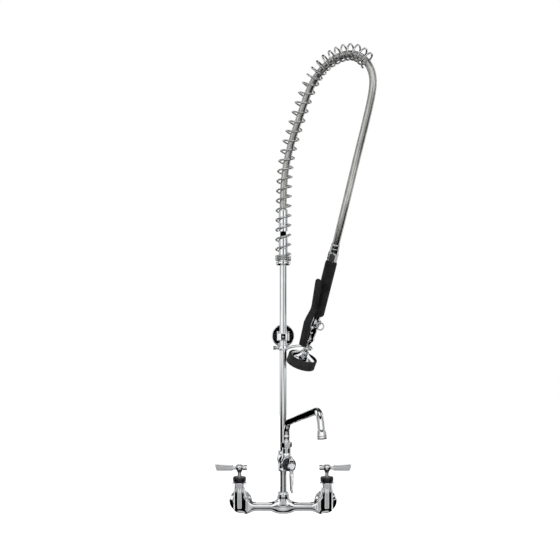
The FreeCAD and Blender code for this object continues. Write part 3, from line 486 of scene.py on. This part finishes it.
def casting(name, field, low, high, cell, mat, at):
    """The surface where a field is zero, as quads with every point moved exactly onto it. In millimetres."""
    low, high = np.array(low, float), np.array(high, float)
    counts = np.ceil((high - low) / cell).astype(int) + 1
    axes = [low[k] + cell * np.arange(counts[k]) for k in range(3)]
    grid = np.stack(np.meshgrid(*axes, indexing="ij"), axis=-1)
    inside = (field(grid.reshape(-1, 3)) < 0).reshape(counts)
    corners = np.zeros(counts - 1, int)
    for shifts in np.ndindex(2, 2, 2):
        corners += inside[tuple(slice(s, s + n - 1) for s, n in zip(shifts, counts))]
    mixed = (corners > 0) & (corners < 8)
    index = -np.ones(mixed.shape, int)
    index[mixed] = np.arange(mixed.sum())
    verts = low + (np.argwhere(mixed) + 0.5) * cell
    faces = []
    for k in range(3):
        first = [slice(None)] * 3
        second = [slice(None)] * 3
        first[k], second[k] = slice(0, -1), slice(1, None)
        crossing = np.argwhere(inside[tuple(first)] != inside[tuple(second)])
        u, v = [j for j in range(3) if j != k]
        crossing = crossing[(crossing[:, u] > 0) & (crossing[:, v] > 0)]
        crossing = crossing[(crossing[:, u] < counts[u] - 1) & (crossing[:, v] < counts[v] - 1)]
        quad = []
        for du, dv in ((-1, -1), (0, -1), (0, 0), (-1, 0)):
            cellid = crossing.copy()
            cellid[:, u] += du
            cellid[:, v] += dv
            quad.append(index[tuple(cellid.T)])
        faces += np.stack(quad, axis=1).tolist()
    step = 0.02
    for _ in range(5):
        value = field(verts)
        slope = np.stack([
            (field(verts + nudge) - field(verts - nudge)) / (2 * step) for nudge in step * np.eye(3)
        ], axis=1)
        size = np.maximum((slope ** 2).sum(axis=1), 0.2)
        verts = verts - np.clip(value / size, -cell, cell)[:, None] * slope
    placed = [at @ Vector(v) for v in verts]
    return mesh_object(name, placed, faces, mat, 60)


def bar_outline(across, z, low, high, half, edge):
    """Distance to an upright bar's outline in the plane of the body, with round corners."""
    return -blend_fields(half - across, -np.maximum(low - z, z - high), edge)


def mixing_body():
    """The cast body: an outline with wide fillets, as thick as its tube, then necks and rims."""
    half, thick, rim = INLET_X / MM, 9.8, VALVE_RIM / MM

    def field(points):
        x, y, z = points.T
        outline = -blend_fields(-(np.abs(z - 0.4) - thick), -(np.abs(x) - half + 22), 1)
        for side in (-half, half):
            post = bar_outline(np.abs(x - side), z, -11.2, 45, 11.9, 13)
            outline = blend_fields(outline, post, 32)
        boss = bar_outline(np.abs(x), z, -9.8, 32, 10.3, 10)
        outline = blend_fields(outline, boss, 26)
        inside = np.maximum(outline + thick, 0)
        crown = 0.16 * np.maximum(-thick - outline, 0)
        shape = np.sqrt(inside ** 2 + y ** 2) - thick - crown
        for side in (-half, half):
            round_post = bar_field(points, (side, 0, -11), (side, 0, 70), 12.4, edge=13)
            shape = blend_fields(shape, -blend_fields(-round_post, rim - z, 1), 6)
            shape = blend_fields(shape, bar_field(points, (side, 0, 0), (side, 22, 0), 10.5), 6)
        shape = blend_fields(shape, bar_field(points, (0, 0, 8), (0, 0, 30), 10.4), 5)
        return blend_fields(shape, bar_field(points, (0, 0, 24), (0, 0, 34.4), 11.8, edge=1.4), 4)

    at = mm(shift(0, RISER.y, 0))
    piece = casting("mixing_body", field, (-120, -20, -20), (120, 26, 50), 1.05, CAST_CHROME, at)
    put(piece, FIXED_BODY, "base_body")


ADDON = shift(0, RISER.y, 0) @ turn("Z", ADDON_TURN)


def addon_body():
    """The add-on faucet's cast body: a sleeve on the riser, a neck with its valve face, and the outlet."""
    axis, out = ADDON_AXIS / MM, -NOZZLE_OUT / MM

    def field(points):
        shape = bar_field(points, (0, 0, 84.2), (0, 0, 130), 11.3, edge=1.5)
        neck = bar_field(points, (0, 0, axis), (0, -44, axis), 11.5, edge=2)
        face = bar_field(points, (0, -36, axis), (0, -54, axis), 13.5, edge=2)
        shape = blend_fields(shape, neck, 9)
        shape = blend_fields(shape, face, 7)
        outlet = bar_field(points, (0, out, axis), (0, out, 145.3), 10, edge=1)
        shape = blend_fields(shape, outlet, 7)
        for low, high in ((84.2, 89), (125.5, 130)):
            shape = blend_fields(shape, bar_field(points, (0, 0, low), (0, 0, high), 12.2, edge=1.2), 1.5)
        return shape

    piece = casting("addon_casting", field, (-16, -58, 82), (16, 15, 150), 0.8, CAST_CHROME, mm(ADDON))
    put(piece, FIXED_BODY, "addon_body")


# ---------------------------------------------------------------- valves and handles

def lofted(name, sections, at, power, lean=0.0):
    """A bar along X through (place, middle height, half height, half width) sections with rounded corners.

    A higher power gives squarer corners, and lean slants the far end.
    """
    count = 40
    verts = []
    for place, middle, tall, wide in sections:
        for i in range(count):
            angle = 2 * math.pi * i / count
            c, s = math.cos(angle), math.sin(angle)
            y = wide * math.copysign(abs(c) ** (2 / power), c)
            z = tall * math.copysign(abs(s) ** (2 / power), s)
            far = min(1, max(0, (place - 40) / 15))
            verts.append(at @ Vector((place + lean * z * far, y, middle + z)))
    return mesh_object(name, verts, capped_tube_faces(len(sections), count), CHROME, 55)


def eased(points, steps=6):
    """Fills in the sections between the given ones with a smooth change."""
    out = []
    for a, b in zip(points, points[1:]):
        for k in range(steps):
            t = k / steps
            s = t * t * (3 - 2 * t)
            out.append((a[0] + (b[0] - a[0]) * t, *(u + (v - u) * s for u, v in zip(a[1:], b[1:]))))
    out.append(points[-1])
    return out


def valve_handle(name, body, at):
    """A lever handle: a waisted hub with a domed top, a tapering blade and a short tail."""
    axis = 44.8
    hub = lathe(name + "_hub", [
        (4.15, 34.6), (5.2, 34.6, 0.5), (5.7, 36.0), (6.0, 38.4, 2.0), (8.9, 41.2, 1.5), (9.2, 44.0, 2),
        (9.2, 48.6, 2.5), (7.8, 51.4, 1.6), (5.3, 52.3, 0.3), (5.0, 51.5, 0.2), (0, 51.5),
    ], CHROME, mm(at))
    blade = lofted(name + "_blade", eased([
        (4, axis, 3.4, 4.4), (9.5, axis, 3.5, 4.3), (14.5, axis - 0.2, 3.7, 3.9), (16.0, axis + 0.1, 6.3, 4.2),
        (36, axis + 0.5, 6.9, 3.5), (52.5, axis + 1.0, 7.5, 2.8), (54.8, axis + 1.0, 7.4, 2.5),
        (55.6, axis + 1.0, 6.9, 1.7),
    ]), mm(at), power=5, lean=0.3)
    tail = lofted(name + "_tail", eased([
        (-17.9, axis + 0.8, 4.3, 3.6), (-17.0, axis + 0.8, 5.6, 4.9), (-14.5, axis + 0.7, 6.1, 5.5),
        (-9.5, axis + 0.2, 5.2, 5.1), (-5, axis, 4.6, 4.6),
    ]), mm(at), power=2.8)
    put(join(name, [hub, blade, tail]), body, name)


def valve_dress(prefix, body, at):
    """The bonnet's hexagon, its knurled cap (chrome coloured near black as a painted dark reflection) and the stem of
    one valve. Returns the cap.
    """
    nut = lathe(prefix + "_bonnet_hex", [
        (9.2, -0.02), (15.2, 0.0, 0.4), (16.8, 1.0), (17.4, 1.8, 0.6), (17.4, 8.8, 0.6), (16.6, 9.8),
        (15.4, 10.4, 0.5), (15.0, 11.6, 0.5), (12.6, 12.3, 0.3), (4.3, 12.3),
    ], CHROME, mm(at), count=144, limit=hexed(31.0), sharp=40)
    put(nut, FIXED_BODY, prefix + "_bonnet")

    def knurl(angle, radius, height):
        if radius < 14.6:
            return radius
        return radius - 0.28 * (0.5 + 0.5 * math.cos(36 * angle))

    # The cap is chrome; its near-black colour is a painted dark reflection, not its own colour.
    cap = lathe(prefix + "_bonnet_knurl", [
        (4.3, 12.3), (12.6, 12.4, 0.2), (13.2, 13.4, 0.6), (15.2, 14.4, 0.8), (15.2, 22.6, 1.2), (13.4, 24.6, 1.4),
        (6.2, 24.8, 0.4), (5.4, 24.3, 0.3), (4.3, 24.3),
    ], CHROME_PAINTED_DARK_REFLECTION_AND_SHADE, mm(at), count=216, limit=knurl, sharp=60)
    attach(cap, FIXED_BODY)
    stem = lathe(prefix + "_stem_visible", [
        (0, 22.0), (4.15, 22.0), (4.15, 30.0, 0.2), (3.8, 30.5, 0.2), (3.8, 31.1, 0.2), (4.15, 31.6, 0.2),
        (4.15, 44.0), (0, 44.0),
    ], CHROME, mm(at))
    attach(stem, body)
    return cap


HOT = shift(-INLET_X, RISER.y, VALVE_RIM) @ turn("Z", 180)
COLD = shift(INLET_X, RISER.y, VALVE_RIM)
ADDON_VALVE = ADDON @ shift(0, -0.054, ADDON_AXIS) @ TO_FRONT


def valves():
    """The three valves. Their caps are one CAD node, so they replace it together."""
    caps = []
    for prefix, body, at, handle_turn in (
        ("hot", "hot_tap", HOT, 0), ("cold", "cold_tap", COLD, 0), ("addon", "addon_tap", ADDON_VALVE, -90),
    ):
        caps.append(valve_dress(prefix, body, at))
        valve_handle(prefix + "_handle", body, at @ turn("Z", handle_turn))
    for cap in caps:
        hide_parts("bonnet_caps")


# ---------------------------------------------------------------- nozzle

def nozzle():
    """The swing nozzle's bent tube, its seal collar, nut and ribbed outlet tip."""
    pivot = ADDON @ Vector((0, -NOZZLE_OUT, 0))
    at = shift(pivot.x, pivot.y, 0) @ turn("Z", 12.9)
    corners = [at @ Vector(c) for c in ((0, 0, 0.1545), (0, 0, 0.200), (0, -0.281, 0.265), (0, -0.300, 0.212))]
    places, ahead = smooth_path(corners, 0.002, radius=0.030)
    tube = sweep("nozzle_tube", places, ahead, 0.0075, CHROME, 40)
    collar = lathe("nozzle_collar", [
        (0, 150.3), (8.8, 150.3), (8.8, 157.9, 0.5), (8.3, 158.4, 0.4), (7.6, 160.2, 0.3), (7.5, 166, 0.3),
        (8.3, 168.2, 1.2), (8.3, 171.0, 1.2), (7.5, 173, 0.4), (7.4, 174), (0, 174),
    ], CHROME, mm(at))
    put(join("nozzle_bent_tube", [tube, collar]), "swing_spout", "swing_nozzle")
    downwards = (corners[-1] - corners[-2]).to_track_quat("Z", "Y")
    tip_at = Matrix.Translation(corners[-1]) @ downwards.to_matrix().to_4x4()
    tip = lathe("nozzle_outlet_tip", [
        (7.4, -16.0), (8.2, -15.6, 0.4), (9.0, -13.6, 0.8), (9.7, -10.5, 0.6), (9.7, -3.2, 0.5),
        (9.0, -2.6, 0.3), (9.0, -1.9, 0.3), (9.7, -1.4, 0.3), (9.7, 0.9, 0.6), (8.2, 1.5, 0.4),
        (6.4, 1.5, 0.3), (6.2, -2.5), (0, -2.5),
    ], CHROME, mm(tip_at))
    put(tip, "swing_spout", "nozzle_tip")
    nut_at = shift(pivot.x, pivot.y, 0) @ turn("Z", ADDON_TURN)
    nut = lathe("nozzle_hex_nut", [
        (9.5, 145.3), (11.0, 145.3, 0.3), (12.6, 146.4, 0.5), (12.6, 155.2, 0.5), (11.2, 156.6, 0.5),
        (10.2, 157.5, 0.5), (8.0, 157.5),
    ], CHROME, mm(nut_at), count=144, limit=hexed(22.4), sharp=40)
    put(nut, FIXED_BODY, "nozzle_nut")


# ---------------------------------------------------------------- wall side

def wall_side():
    """The inlet flanges and union nuts behind the valves."""
    flanges, nuts = [], []
    for x in (-INLET_X, INLET_X):
        at = mm(shift(x, 0, 0) @ TO_FRONT)
        flanges.append(lathe("flange", [
            (9.5, 0), (26.4, 0, 0.3), (27.0, 0.8, 0.4), (27.0, 2.2, 0.8), (24.6, 3.6, 1.5), (18.2, 8.2, 5),
            (15.4, 12.6, 2), (13.2, 13.4, 0.5), (13.2, 19.0, 0.4), (11.5, 19.4), (11.5, 31.0), (6.2, 31.0),
            (6.2, 16.0), (9.5, 16.0),
        ], CHROME, at, close=True))
        nuts.append(lathe("nut", [
            (11.6, 20.0), (14.4, 20.0, 0.3), (16.4, 21.4, 0.6), (16.4, 35.6, 0.6), (14.6, 37.0, 0.6),
            (12.2, 38.5, 0.6), (8.6, 38.5), (8.6, 35.6), (11.6, 35.6),
        ], CHROME, at, count=144, limit=hexed(29.0), close=True, sharp=40))
    put(join("wall_flanges", flanges), FIXED_BODY, "inlet_flanges")
    put(join("hex_union_nuts", nuts), FIXED_BODY, "union_nuts")


# ---------------------------------------------------------------- riser's fittings

def wall_bracket():
    """The flange on the wall with its countersunk holes, drawn as near-black discs of painted shade, and the clamp
    round the riser.
    """
    at = mm(shift(0, 0, BRACKET_HEIGHT) @ TO_FRONT)
    plate = lathe("flange_plate", [
        (0, 0), (26.2, 0, 0.3), (27.0, 0.8, 0.4), (27.0, 4.2, 0.8), (25.9, 5.9, 0.5), (25.2, 6.0), (24.8, 6.0),
        (12.2, 6.0), (11.8, 6.0), (11.0, 6.0, 0.6), (9.2, 8.0, 1.5), (9.0, 15.4, 0.5), (8.5, 16.0, 0.3), (0, 16.0),
    ], CHROME, at, count=96)
    sinks = []
    # Each hole is a thin near-black disc on the flange's face: painted shade in the recess.
    for x in (-18.1, 18.1):
        sinks.append(lathe("countersink_painted_shade", [
            (0, 6.25), (3.4, 6.25, 0.2), (4.6, 6.1, 0.3), (4.9, 5.3), (0, 5.3),
        ], CHROME_PAINTED_DARK_REFLECTION_AND_SHADE, at @ Matrix.Translation((x, 0, 0)), count=36))
    plate = join("bracket_flange_plate", [plate, *sinks])
    put(plate, FIXED_BODY, "bracket_flange")

    def field(points):
        x, y, z = points.T
        disc = np.sqrt(x ** 2 + y ** 2) - 15
        shape = -blend_fields(-disc, -(np.abs(z) - 9), 1.5)
        shape = -blend_fields(-shape, -(np.abs(y) - 13), 2)
        slot = -blend_fields(-(np.abs(np.abs(x) - 11.4) - 0.7), -(8.6 - np.abs(y)), 0.5)
        return -blend_fields(-shape, slot, 0.6)

    at = mm(shift(0, RISER.y, BRACKET_HEIGHT))
    clamp = casting("clamp_block", field, (-17, -15, -11), (17, 15, 11), 0.6, CHROME, at)
    put(clamp, FIXED_BODY, "bracket_clamp")
    screw = lathe("clamp_set_screw", [
        (0, 12.0), (2.5, 12.0), (2.5, 14.0, 0.4), (1.4, 14.2, 0.1), (1.3, 12.9), (0, 12.9),
    ], STEEL, at @ TO_FRONT, count=36, sharp=40)
    put(screw, FIXED_BODY, "bracket_set_screw")


def riser_fittings():
    """The riser's two pipes and what is fitted on them, from the holder's collar up to the hose's ferrule."""
    at = mm(shift(0, RISER.y, 0))
    collar_at = mm(shift(0, RISER.y, HOLDER_HEIGHT))
    for name, low, high in (("riser_pipe", 115, 584), ("riser_nipple", 16.5, 99)):
        line = [(8.0, low + (high - low) * k / 24) for k in range(25)]
        tube = lathe(name + "_tube", [(6.2, low), *line, (6.2, high)], CHROME, at, count=96, close=True)
        put(tube, FIXED_BODY, name)
    collar = lathe("holder_collar_band", [
        (8.02, -5.5), (10.6, -5.5, 0.4), (11.5, -4.8, 0.6), (11.5, 4.8, 0.6), (10.6, 5.5, 0.4), (8.02, 5.5),
    ], CHROME, collar_at, close=True)
    lug = lathe("holder_lug", [
        (2.1, 10.5), (3.9, 10.5), (3.9, 13.9, 0.4), (3.4, 14.5, 0.3), (2.1, 14.5),
    ], CHROME, collar_at @ turn("Y", -90), close=True)
    put(join("holder_collar_and_lug", [collar, lug]), FIXED_BODY, "holder_collar")
    seat = lathe("spring_seat_ring", [
        (8.0, 560.6), (13.6, 560.6, 0.6), (16.2, 563.2, 1.2), (16.5, 565.4, 0.8), (16.5, 569.0, 0.8),
        (15.4, 570.0, 0.4), (8.0, 570.0),
    ], CHROME, at, close=True)
    put(seat, FIXED_BODY, "spring_seat")
    adapter = lathe("hose_adapter_sleeve", [
        (0, 570.0), (10.3, 570.0), (10.3, 598.0, 0.4), (9.9, 598.6, 0.3), (9.9, 600.4, 0.3), (10.3, 601.0, 0.4),
        (10.3, 624.9, 0.6), (9.6, 626.0, 0.5), (8.35, 626.0), (8.35, 631.0), (9.15, 631.0), (9.15, 634.0), (0, 634.0),
    ], CHROME, at)
    put(adapter, FIXED_BODY, "hose_adapter")
    nut = lathe("swivel_hex_nut", [
        (8.5, 626.3), (12.2, 626.3, 0.3), (13.8, 627.6, 0.6), (13.8, 638.6, 0.6), (12.2, 640.0, 0.5), (10.3, 640.0),
    ], CHROME, at, count=144, limit=hexed(24.0), sharp=40)
    put(nut, ARCH_BODY, "swivel_nut")
    ferrule = lathe("riser_hose_ferrule", [
        (9.3, 634.3), (9.3, 640.0), (10.3, 640.0), (10.3, 652.0, 0.5), (9.8, 653.0, 0.4), (9.8, 656.0, 0.4),
        (10.3, 657.0, 0.5), (10.3, 688.5, 0.8), (9.3, 691.2, 0.8), (8.05, 692.0), (6.3, 692.0), (6.3, 634.3),
    ], CHROME, at, close=True)
    put(ferrule, ARCH_BODY, "hose_ferrule_riser")


# ---------------------------------------------------------------- spray valve

def spray_valve():
    """The cast body with its bend and plunger boss, the bell, the bumper, the grip and the hose's nut."""
    bend = (0, 0, GRIP_BEND_HEIGHT / MM)
    top = shift(*bend) @ turn("Y", GRIP_BEND) @ Vector((0, 0, 144))
    eye_facing = math.radians(20)
    through = VALVE.to_3x3().inverted() @ Vector((math.cos(eye_facing), math.sin(eye_facing), 0))
    through = np.array(through.normalized())

    def field(points):
        shape = bar_field(points, (0, 0, -13), (0, 0, 18), 6.2, edge=1)
        shape = blend_fields(shape, bar_field(points, (0, 0, 20), (0, 0, 66), 9.6, 10.2, edge=6), 12)
        shape = blend_fields(shape, bar_field(points, (0, 0, 60), tuple(top), 8.5, edge=1), 8)
        shape = blend_fields(shape, bar_field(points, (0, 0, 46), (15.5, 0, 46), 7.5, edge=1), 5)
        lug = bar_field(points, (10, -5.5, 12), (10, 5.5, 12), 5.5, edge=1)
        lug = blend_fields(lug, bar_field(points, (15.5, -5.5, 12), (15.5, 5.5, 12), 4.5, edge=1), 6)
        shape = blend_fields(shape, lug, 5)
        centred = points - np.array((0, 12.8, 69))
        along = centred @ through
        away = np.linalg.norm(centred - along[:, None] * through, axis=1)
        eye = np.sqrt((away - 3.6) ** 2 + along ** 2) - 1.3
        return blend_fields(shape, eye, 2)

    body = casting("spray_valve_casting", field, (-16, -14, -15), (34, 22, 224), 0.95, CAST_CHROME, mm(VALVE))
    put(body, ARCH_BODY, "spray_valve_body")
    bell = lathe("spray_bell", [
        (0, -11.0), (9.4, -11.0, 0.4), (9.6, -13.4, 0.8), (12.5, -15.2, 2.0), (22.0, -19.8, 3), (29.2, -24.2, 1.6),
        (30.0, -26.0, 0.8), (30.0, -42.0, 0.4), (28.1, -42.0, 0.4), (28.1, -27.4, 0.8), (10, -17.0, 0.5), (0, -17.0),
    ], CHROME, mm(VALVE), count=96)
    put(bell, ARCH_BODY, "spray_cone")

    def ribs(angle, radius, height):
        if radius < 33.4 or not -44.0 < height < -26.0:
            return radius
        return radius - 0.3 * (0.5 + 0.5 * math.cos((height + 25) * 2 * math.pi / 4.6))

    outer = [(34.0, -25.2 - 0.46 * k) for k in range(42)]
    bumper = lathe("bumper_ring", [
        (30.05, -23.5, 0.5), (32.8, -23.5, 0.8), (33.9, -24.4, 0.6), *outer, (33.9, -45.0, 0.5), (32.6, -46.0, 0.8),
        (28.9, -46.0, 0.8), (28.2, -44.9, 0.5), (28.1, -42.1), (30.05, -42.1),
    ], RUBBER, mm(VALVE), count=128, limit=ribs, close=True, sharp=60)
    put(bumper, ARCH_BODY, "rubber_bumper")

    def flutes(angle, radius, height):
        if radius < 12.0:
            return radius
        return radius - 0.7 * max(0.0, math.cos(14 * angle)) ** 1.5

    line = [(13.3, 6 + 3.9 * k) for k in range(33)]
    grip = lathe("fluted_grip", [
        (8.55, 2), (11.0, 2.0, 0.8), (12.4, 3.2, 1.2), *line, (12.9, 133.4, 0.8), (10.6, 136.0, 1.4), (8.55, 136),
    ], GRIP_PLASTIC, mm(GRIP), count=168, limit=flutes, sharp=60)
    put(grip, ARCH_BODY, "grip")
    nut = lathe("hose_hex_nut", [
        (8.5, 136), (9.6, 136.0, 0.3), (10.2, 137.0, 0.5), (11.6, 139.0, 0.4), (11.6, 155.0, 0.4),
        (10.4, 157.0, 0.4), (10.0, 159.4, 0.4), (10.0, 167.2, 0.5), (9.4, 168.0), (6.0, 168.0),
    ], STEEL, mm(GRIP), count=144, limit=hexed(20.6), sharp=40)
    put(nut, ARCH_BODY, "hose_nut")
    sleeve = lathe("valve_hose_ferrule", [
        (6.0, 168.0), (9.3, 168.0, 0.4), (9.5, 169.0, 0.4), (9.5, 175.4, 0.6), (8.6, 177.6, 0.6), (8.1, 178.0),
        (6.0, 178.0),
    ], STEEL, mm(GRIP))
    put(sleeve, ARCH_BODY, "hose_ferrule_valve")


def squeeze_lever():
    """A pressed strip: rounded free end, rolled edges, two bends, and cheeks at the hinge."""
    plan = [(20.5, 5), (24.5, 24), (28.2, 42), (31.2, 57), (31.9, 61.5), (31.5, 66), (29.2, 76), (26.6, 87.5),
            (25.0, 94.5), (25.2, 100), (27.2, 108), (31.8, 124), (37.4, 144), (43.4, 165), (45.0, 170)]
    path = route_points("lever_line", [(r * MM, 0, z * MM) for r, z in plan])
    places, ahead, along = resampled(path, 0.0012)
    half, thick, lip = 8.5 * MM, 1.2 * MM, 2.6 * MM
    profile = [(y, -lip * max(0, (abs(y) - 0.72) / 0.28) ** 2) for y in np.linspace(-1, 1, 19).tolist()]
    verts = []
    for place, direction, left in zip(places, ahead, along[-1] - along):
        out = np.array((direction[2], 0, -direction[0]))
        wide = max(half * (1 - max(0, 1 - left / half) ** 2) ** 0.5, 0.3 * MM)
        for y, drop in profile:
            base = place + np.array((0, y * wide, 0)) + out * drop
            verts.append(tuple(base + out * thick))
        for y, drop in reversed(profile):
            base = place + np.array((0, y * wide * 0.995, 0)) + out * drop
            verts.append(tuple(base - out * thick))
    faces = capped_tube_faces(len(places), 2 * len(profile))
    parts = [mesh_object("strip", [VALVE @ Vector(v) for v in verts], faces, LEVER_COAT, 50)]
    outline = [
        (11.5, 8), (12.2, 16.5), (15.5, 20.5), (24.2, 60), (26.5, 79), (28.4, 80), (31.4, 62), (24, 24), (20.6, 6),
    ]
    count = len(outline)
    faces = [tuple(range(count)), tuple(reversed(range(count, 2 * count)))]
    faces += [(i, i + count, (i + 1) % count + count, (i + 1) % count) for i in range(count)]
    for sides in ((-8.4, -6.15), (6.15, 8.4)):
        verts = [mm(VALVE) @ Vector((r, y, z)) for y in sides for r, z in outline]
        parts.append(mesh_object("cheek", verts, faces, LEVER_COAT, 30))
    put(join("lever_strip", parts), "valve_lever", "squeeze_lever")


def holder():
    """The bent rod that the valve's neck rests in, with a ball-rounded end."""
    curl, step, entry = 11.4 * MM, math.radians(45), math.radians(200)
    reach = curl / math.cos(step / 2)
    start = Vector((0.0096, RISER.y, HOLDER_HEIGHT))
    angles = [entry - i * step for i in range(5)]
    round_neck = [VALVE @ Vector((reach * math.cos(a), reach * math.sin(a), 0)) for a in angles]
    rise = (start + round_neck[0]) / 2 + Vector((0, 0, 0.0032))
    places, ahead = smooth_path([start, rise, *round_neck], 0.0008)
    gone = np.linalg.norm(np.diff(places, axis=0), axis=1)[::-1].cumsum()[::-1]
    left = np.concatenate([gone, [0]])
    radius = 0.0029
    radii = radius * np.sqrt(np.clip(1 - np.maximum(0, 1 - left / radius) ** 2, 0.01, 1))
    put(sweep("holder_bent_rod", places, ahead, radii, CHROME, 28), FIXED_BODY, "holder_hook")


mixing_body()
addon_body()
valves()
nozzle()
wall_side()
wall_bracket()
riser_fittings()
spray_valve()
squeeze_lever()
holder()


# ---------------------------------------------------------------- studio and camera

def surround():
    """A bright backdrop with dark panels that only reflections show."""
    world = bpy.data.worlds.new("studio")
    bpy.context.scene.world = world
    world.use_nodes = True
    tree = world.node_tree
    tree.nodes.clear()
    out = tree.nodes.new("ShaderNodeOutputWorld")
    where = tree.nodes.new("ShaderNodeTexCoord")
    parts = tree.nodes.new("ShaderNodeSeparateXYZ")
    tree.links.new(where.outputs["Generated"], parts.inputs["Vector"])

    def maths(kind, a, b=0.0):
        node = tree.nodes.new("ShaderNodeMath")
        node.operation = kind
        for socket, value in zip(node.inputs, (a, b)):
            if isinstance(value, (int, float)):
                socket.default_value = value
            else:
                tree.links.new(value, socket)
        return node.outputs["Value"]

    front = maths("MULTIPLY", parts.outputs["Y"], -1.0)
    azimuth = maths("ARCTAN2", parts.outputs["X"], front)
    height = maths("ARCSINE", parts.outputs["Z"])

    def panel(center, half, soft, low, high):
        """1 inside a panel of the surround, in degrees of azimuth from the front and of height."""
        off = maths("ABSOLUTE", maths("SUBTRACT", azimuth, math.radians(center)))
        across = maths("DIVIDE", maths("SUBTRACT", math.radians(half), off), math.radians(soft))
        middle, reach = (low + high) / 2, (high - low) / 2
        up = maths("ABSOLUTE", maths("SUBTRACT", height, math.radians(middle)))
        tall = maths("DIVIDE", maths("SUBTRACT", math.radians(reach), up), math.radians(soft))
        inside = maths("MINIMUM", across, tall)
        return maths("MINIMUM", maths("MAXIMUM", inside, 0.0), 1.0)

    dark = 0.0
    for *place, darkness in DARK_PANELS:
        dark = maths("MAXIMUM", dark, maths("MULTIPLY", panel(*place), darkness))
    level = maths("MULTIPLY", maths("SUBTRACT", 1.0, dark), SURROUND_LEVEL)
    reflected = tree.nodes.new("ShaderNodeBackground")
    reflected.inputs["Color"].default_value = (1, 1, 1, 1)
    tree.links.new(level, reflected.inputs["Strength"])
    seen = tree.nodes.new("ShaderNodeBackground")
    seen.inputs["Color"].default_value = (1, 1, 1, 1)
    seen.inputs["Strength"].default_value = BACKDROP_LEVEL
    rays = tree.nodes.new("ShaderNodeLightPath")
    mix = tree.nodes.new("ShaderNodeMixShader")
    tree.links.new(rays.outputs["Is Camera Ray"], mix.inputs["Fac"])
    tree.links.new(reflected.outputs["Background"], mix.inputs[1])
    tree.links.new(seen.outputs["Background"], mix.inputs[2])
    tree.links.new(mix.outputs["Shader"], out.inputs["Surface"])


def pale_floor():
    """A floor that reflections don't show, so that the panels below it can be seen in the chrome."""
    mat, tree, shader = material("floor_paper", (0.94, 0.94, 0.94), roughness=0.9)
    shade_of_white = tint(tree, noise(tree, 3.0), (0.93, 0.93, 0.93), (0.95, 0.95, 0.95))
    tree.links.new(shade_of_white, shader.inputs["Base Color"])
    shader.inputs["Emission Color"].default_value = (1, 1, 1, 1)
    shader.inputs["Emission Strength"].default_value = FLOOR_GLOW
    corners = [(x * FLOOR_SIZE, y * FLOOR_SIZE, FLOOR_HEIGHT) for x, y in ((-1, -1), (1, -1), (1, 1), (-1, 1))]
    floor = mesh_object("floor", corners, [(0, 1, 2, 3)], mat, 35)
    floor.visible_glossy = False


def soft_lights():
    """Two softboxes that light the rubber and plastic and don't show in the chrome."""
    aim = Vector((0, -0.1, 0.5))
    for name, place, width, power in (
        ("key_light", (-1.3, -1.9, 1.9), 1.4, 16), ("fill_light", (1.6, -1.5, 1.1), 1.2, 9),
    ):
        lamp = bpy.data.lights.new(name, "AREA")
        lamp.size = width
        lamp.energy = power
        obj = bpy.data.objects.new(name, lamp)
        obj.location = place
        obj.visible_glossy = False
        obj.rotation_euler = (aim - Vector(place)).to_track_quat("-Z", "Y").to_euler()
        bpy.context.scene.collection.objects.link(obj)


ALL_ROUND = 400
# Azimuth from the front, half width, softness, lowest and highest angle, darkness.
DARK_PANELS = [
    (70, 40, 6, -38, -2, 1.0),
    (-70, 40, 6, -38, -2, 1.0),
    (2, 15, 4, -8, 13, 1.0),
    (74, 10, 4, -4, 14, 1.0),
    (94, 20, 6, -6, 50, 0.85),
    (-94, 20, 6, -6, 50, 0.85),
    (0, ALL_ROUND, 4, -68, -27, 1.0),
    (0, 32, 6, -30, -4, 0.6),
    (56, 13, 5, 12, 50, 0.85),
    (-56, 13, 5, 12, 50, 0.85),
    (0, ALL_ROUND, 5, 48, 74, 1.0),
    (157, 24, 8, -60, 60, 1.0),
    (-157, 24, 8, -60, 60, 1.0),
    (0, ALL_ROUND, 4, -95, -60, 0.5),
]
SURROUND_LEVEL = 1.12
FLOOR_GLOW = 0.8
BACKDROP_LEVEL = 1.0
surround()
pale_floor()
soft_lights()

CAMERA_DISTANCE = 2.0
VIEW_WIDTH = 1.302
VIEW_RAISED = 1 / 28
data = bpy.data.cameras.new("camera")
data.sensor_width = 36
data.lens = data.sensor_width * CAMERA_DISTANCE / VIEW_WIDTH
data.shift_y = VIEW_RAISED
camera = bpy.data.objects.new("camera", data)
camera.location = (-0.0074, RISER.y - CAMERA_DISTANCE, 0.4806)
camera.rotation_euler = (math.pi / 2, 0, 0)
bpy.context.scene.collection.objects.link(camera)
bpy.context.scene.camera = camera
bpy.context.scene.view_settings.view_transform = "Standard"


# ---------------------------------------------------------------- materials of the CAD nodes

NODE_MATERIALS = {
    CHROME: (
        "riser_pipe riser_nipple coupling_tails spring_seat hose_adapter swivel_nut hose_ferrule_riser "
        "nozzle_nut nozzle_tip swing_nozzle union_nuts inlet_flanges hot_bonnet "
        "cold_bonnet addon_bonnet bonnet_caps bracket_rod bracket_flange holder_collar spray_cone "
        "hot_handle cold_handle addon_handle holder_hook hot_stem cold_stem addon_stem"
    ),
    CAST_CHROME: "base_body addon_body bracket_clamp spray_valve_body",
    STEEL: (
        "hose_ferrule_valve hose_nut spray_face face_screw holder_thumb_screw bracket_set_screw "
        "plunger_spring lever_pin hold_ring hot_handle_screw cold_handle_screw addon_handle_screw"
    ),
    BRASS: "plunger",
    RUBBER: "union_washers nozzle_o_rings plunger_seal rubber_bumper",
    GRIP_PLASTIC: "grip",
    LEVER_COAT: "squeeze_lever",
    CERAMIC: "valve_seat_discs hot_turning_disc cold_turning_disc addon_turning_disc",
    NYLON: "valve_cartridges",
    INDEX: "hot_index_cap cold_index_cap addon_index_cap",
}
for mat, names in NODE_MATERIALS.items():
    for node in names.split():
        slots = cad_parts[node].data.materials
        slots.clear()
        slots.append(mat)
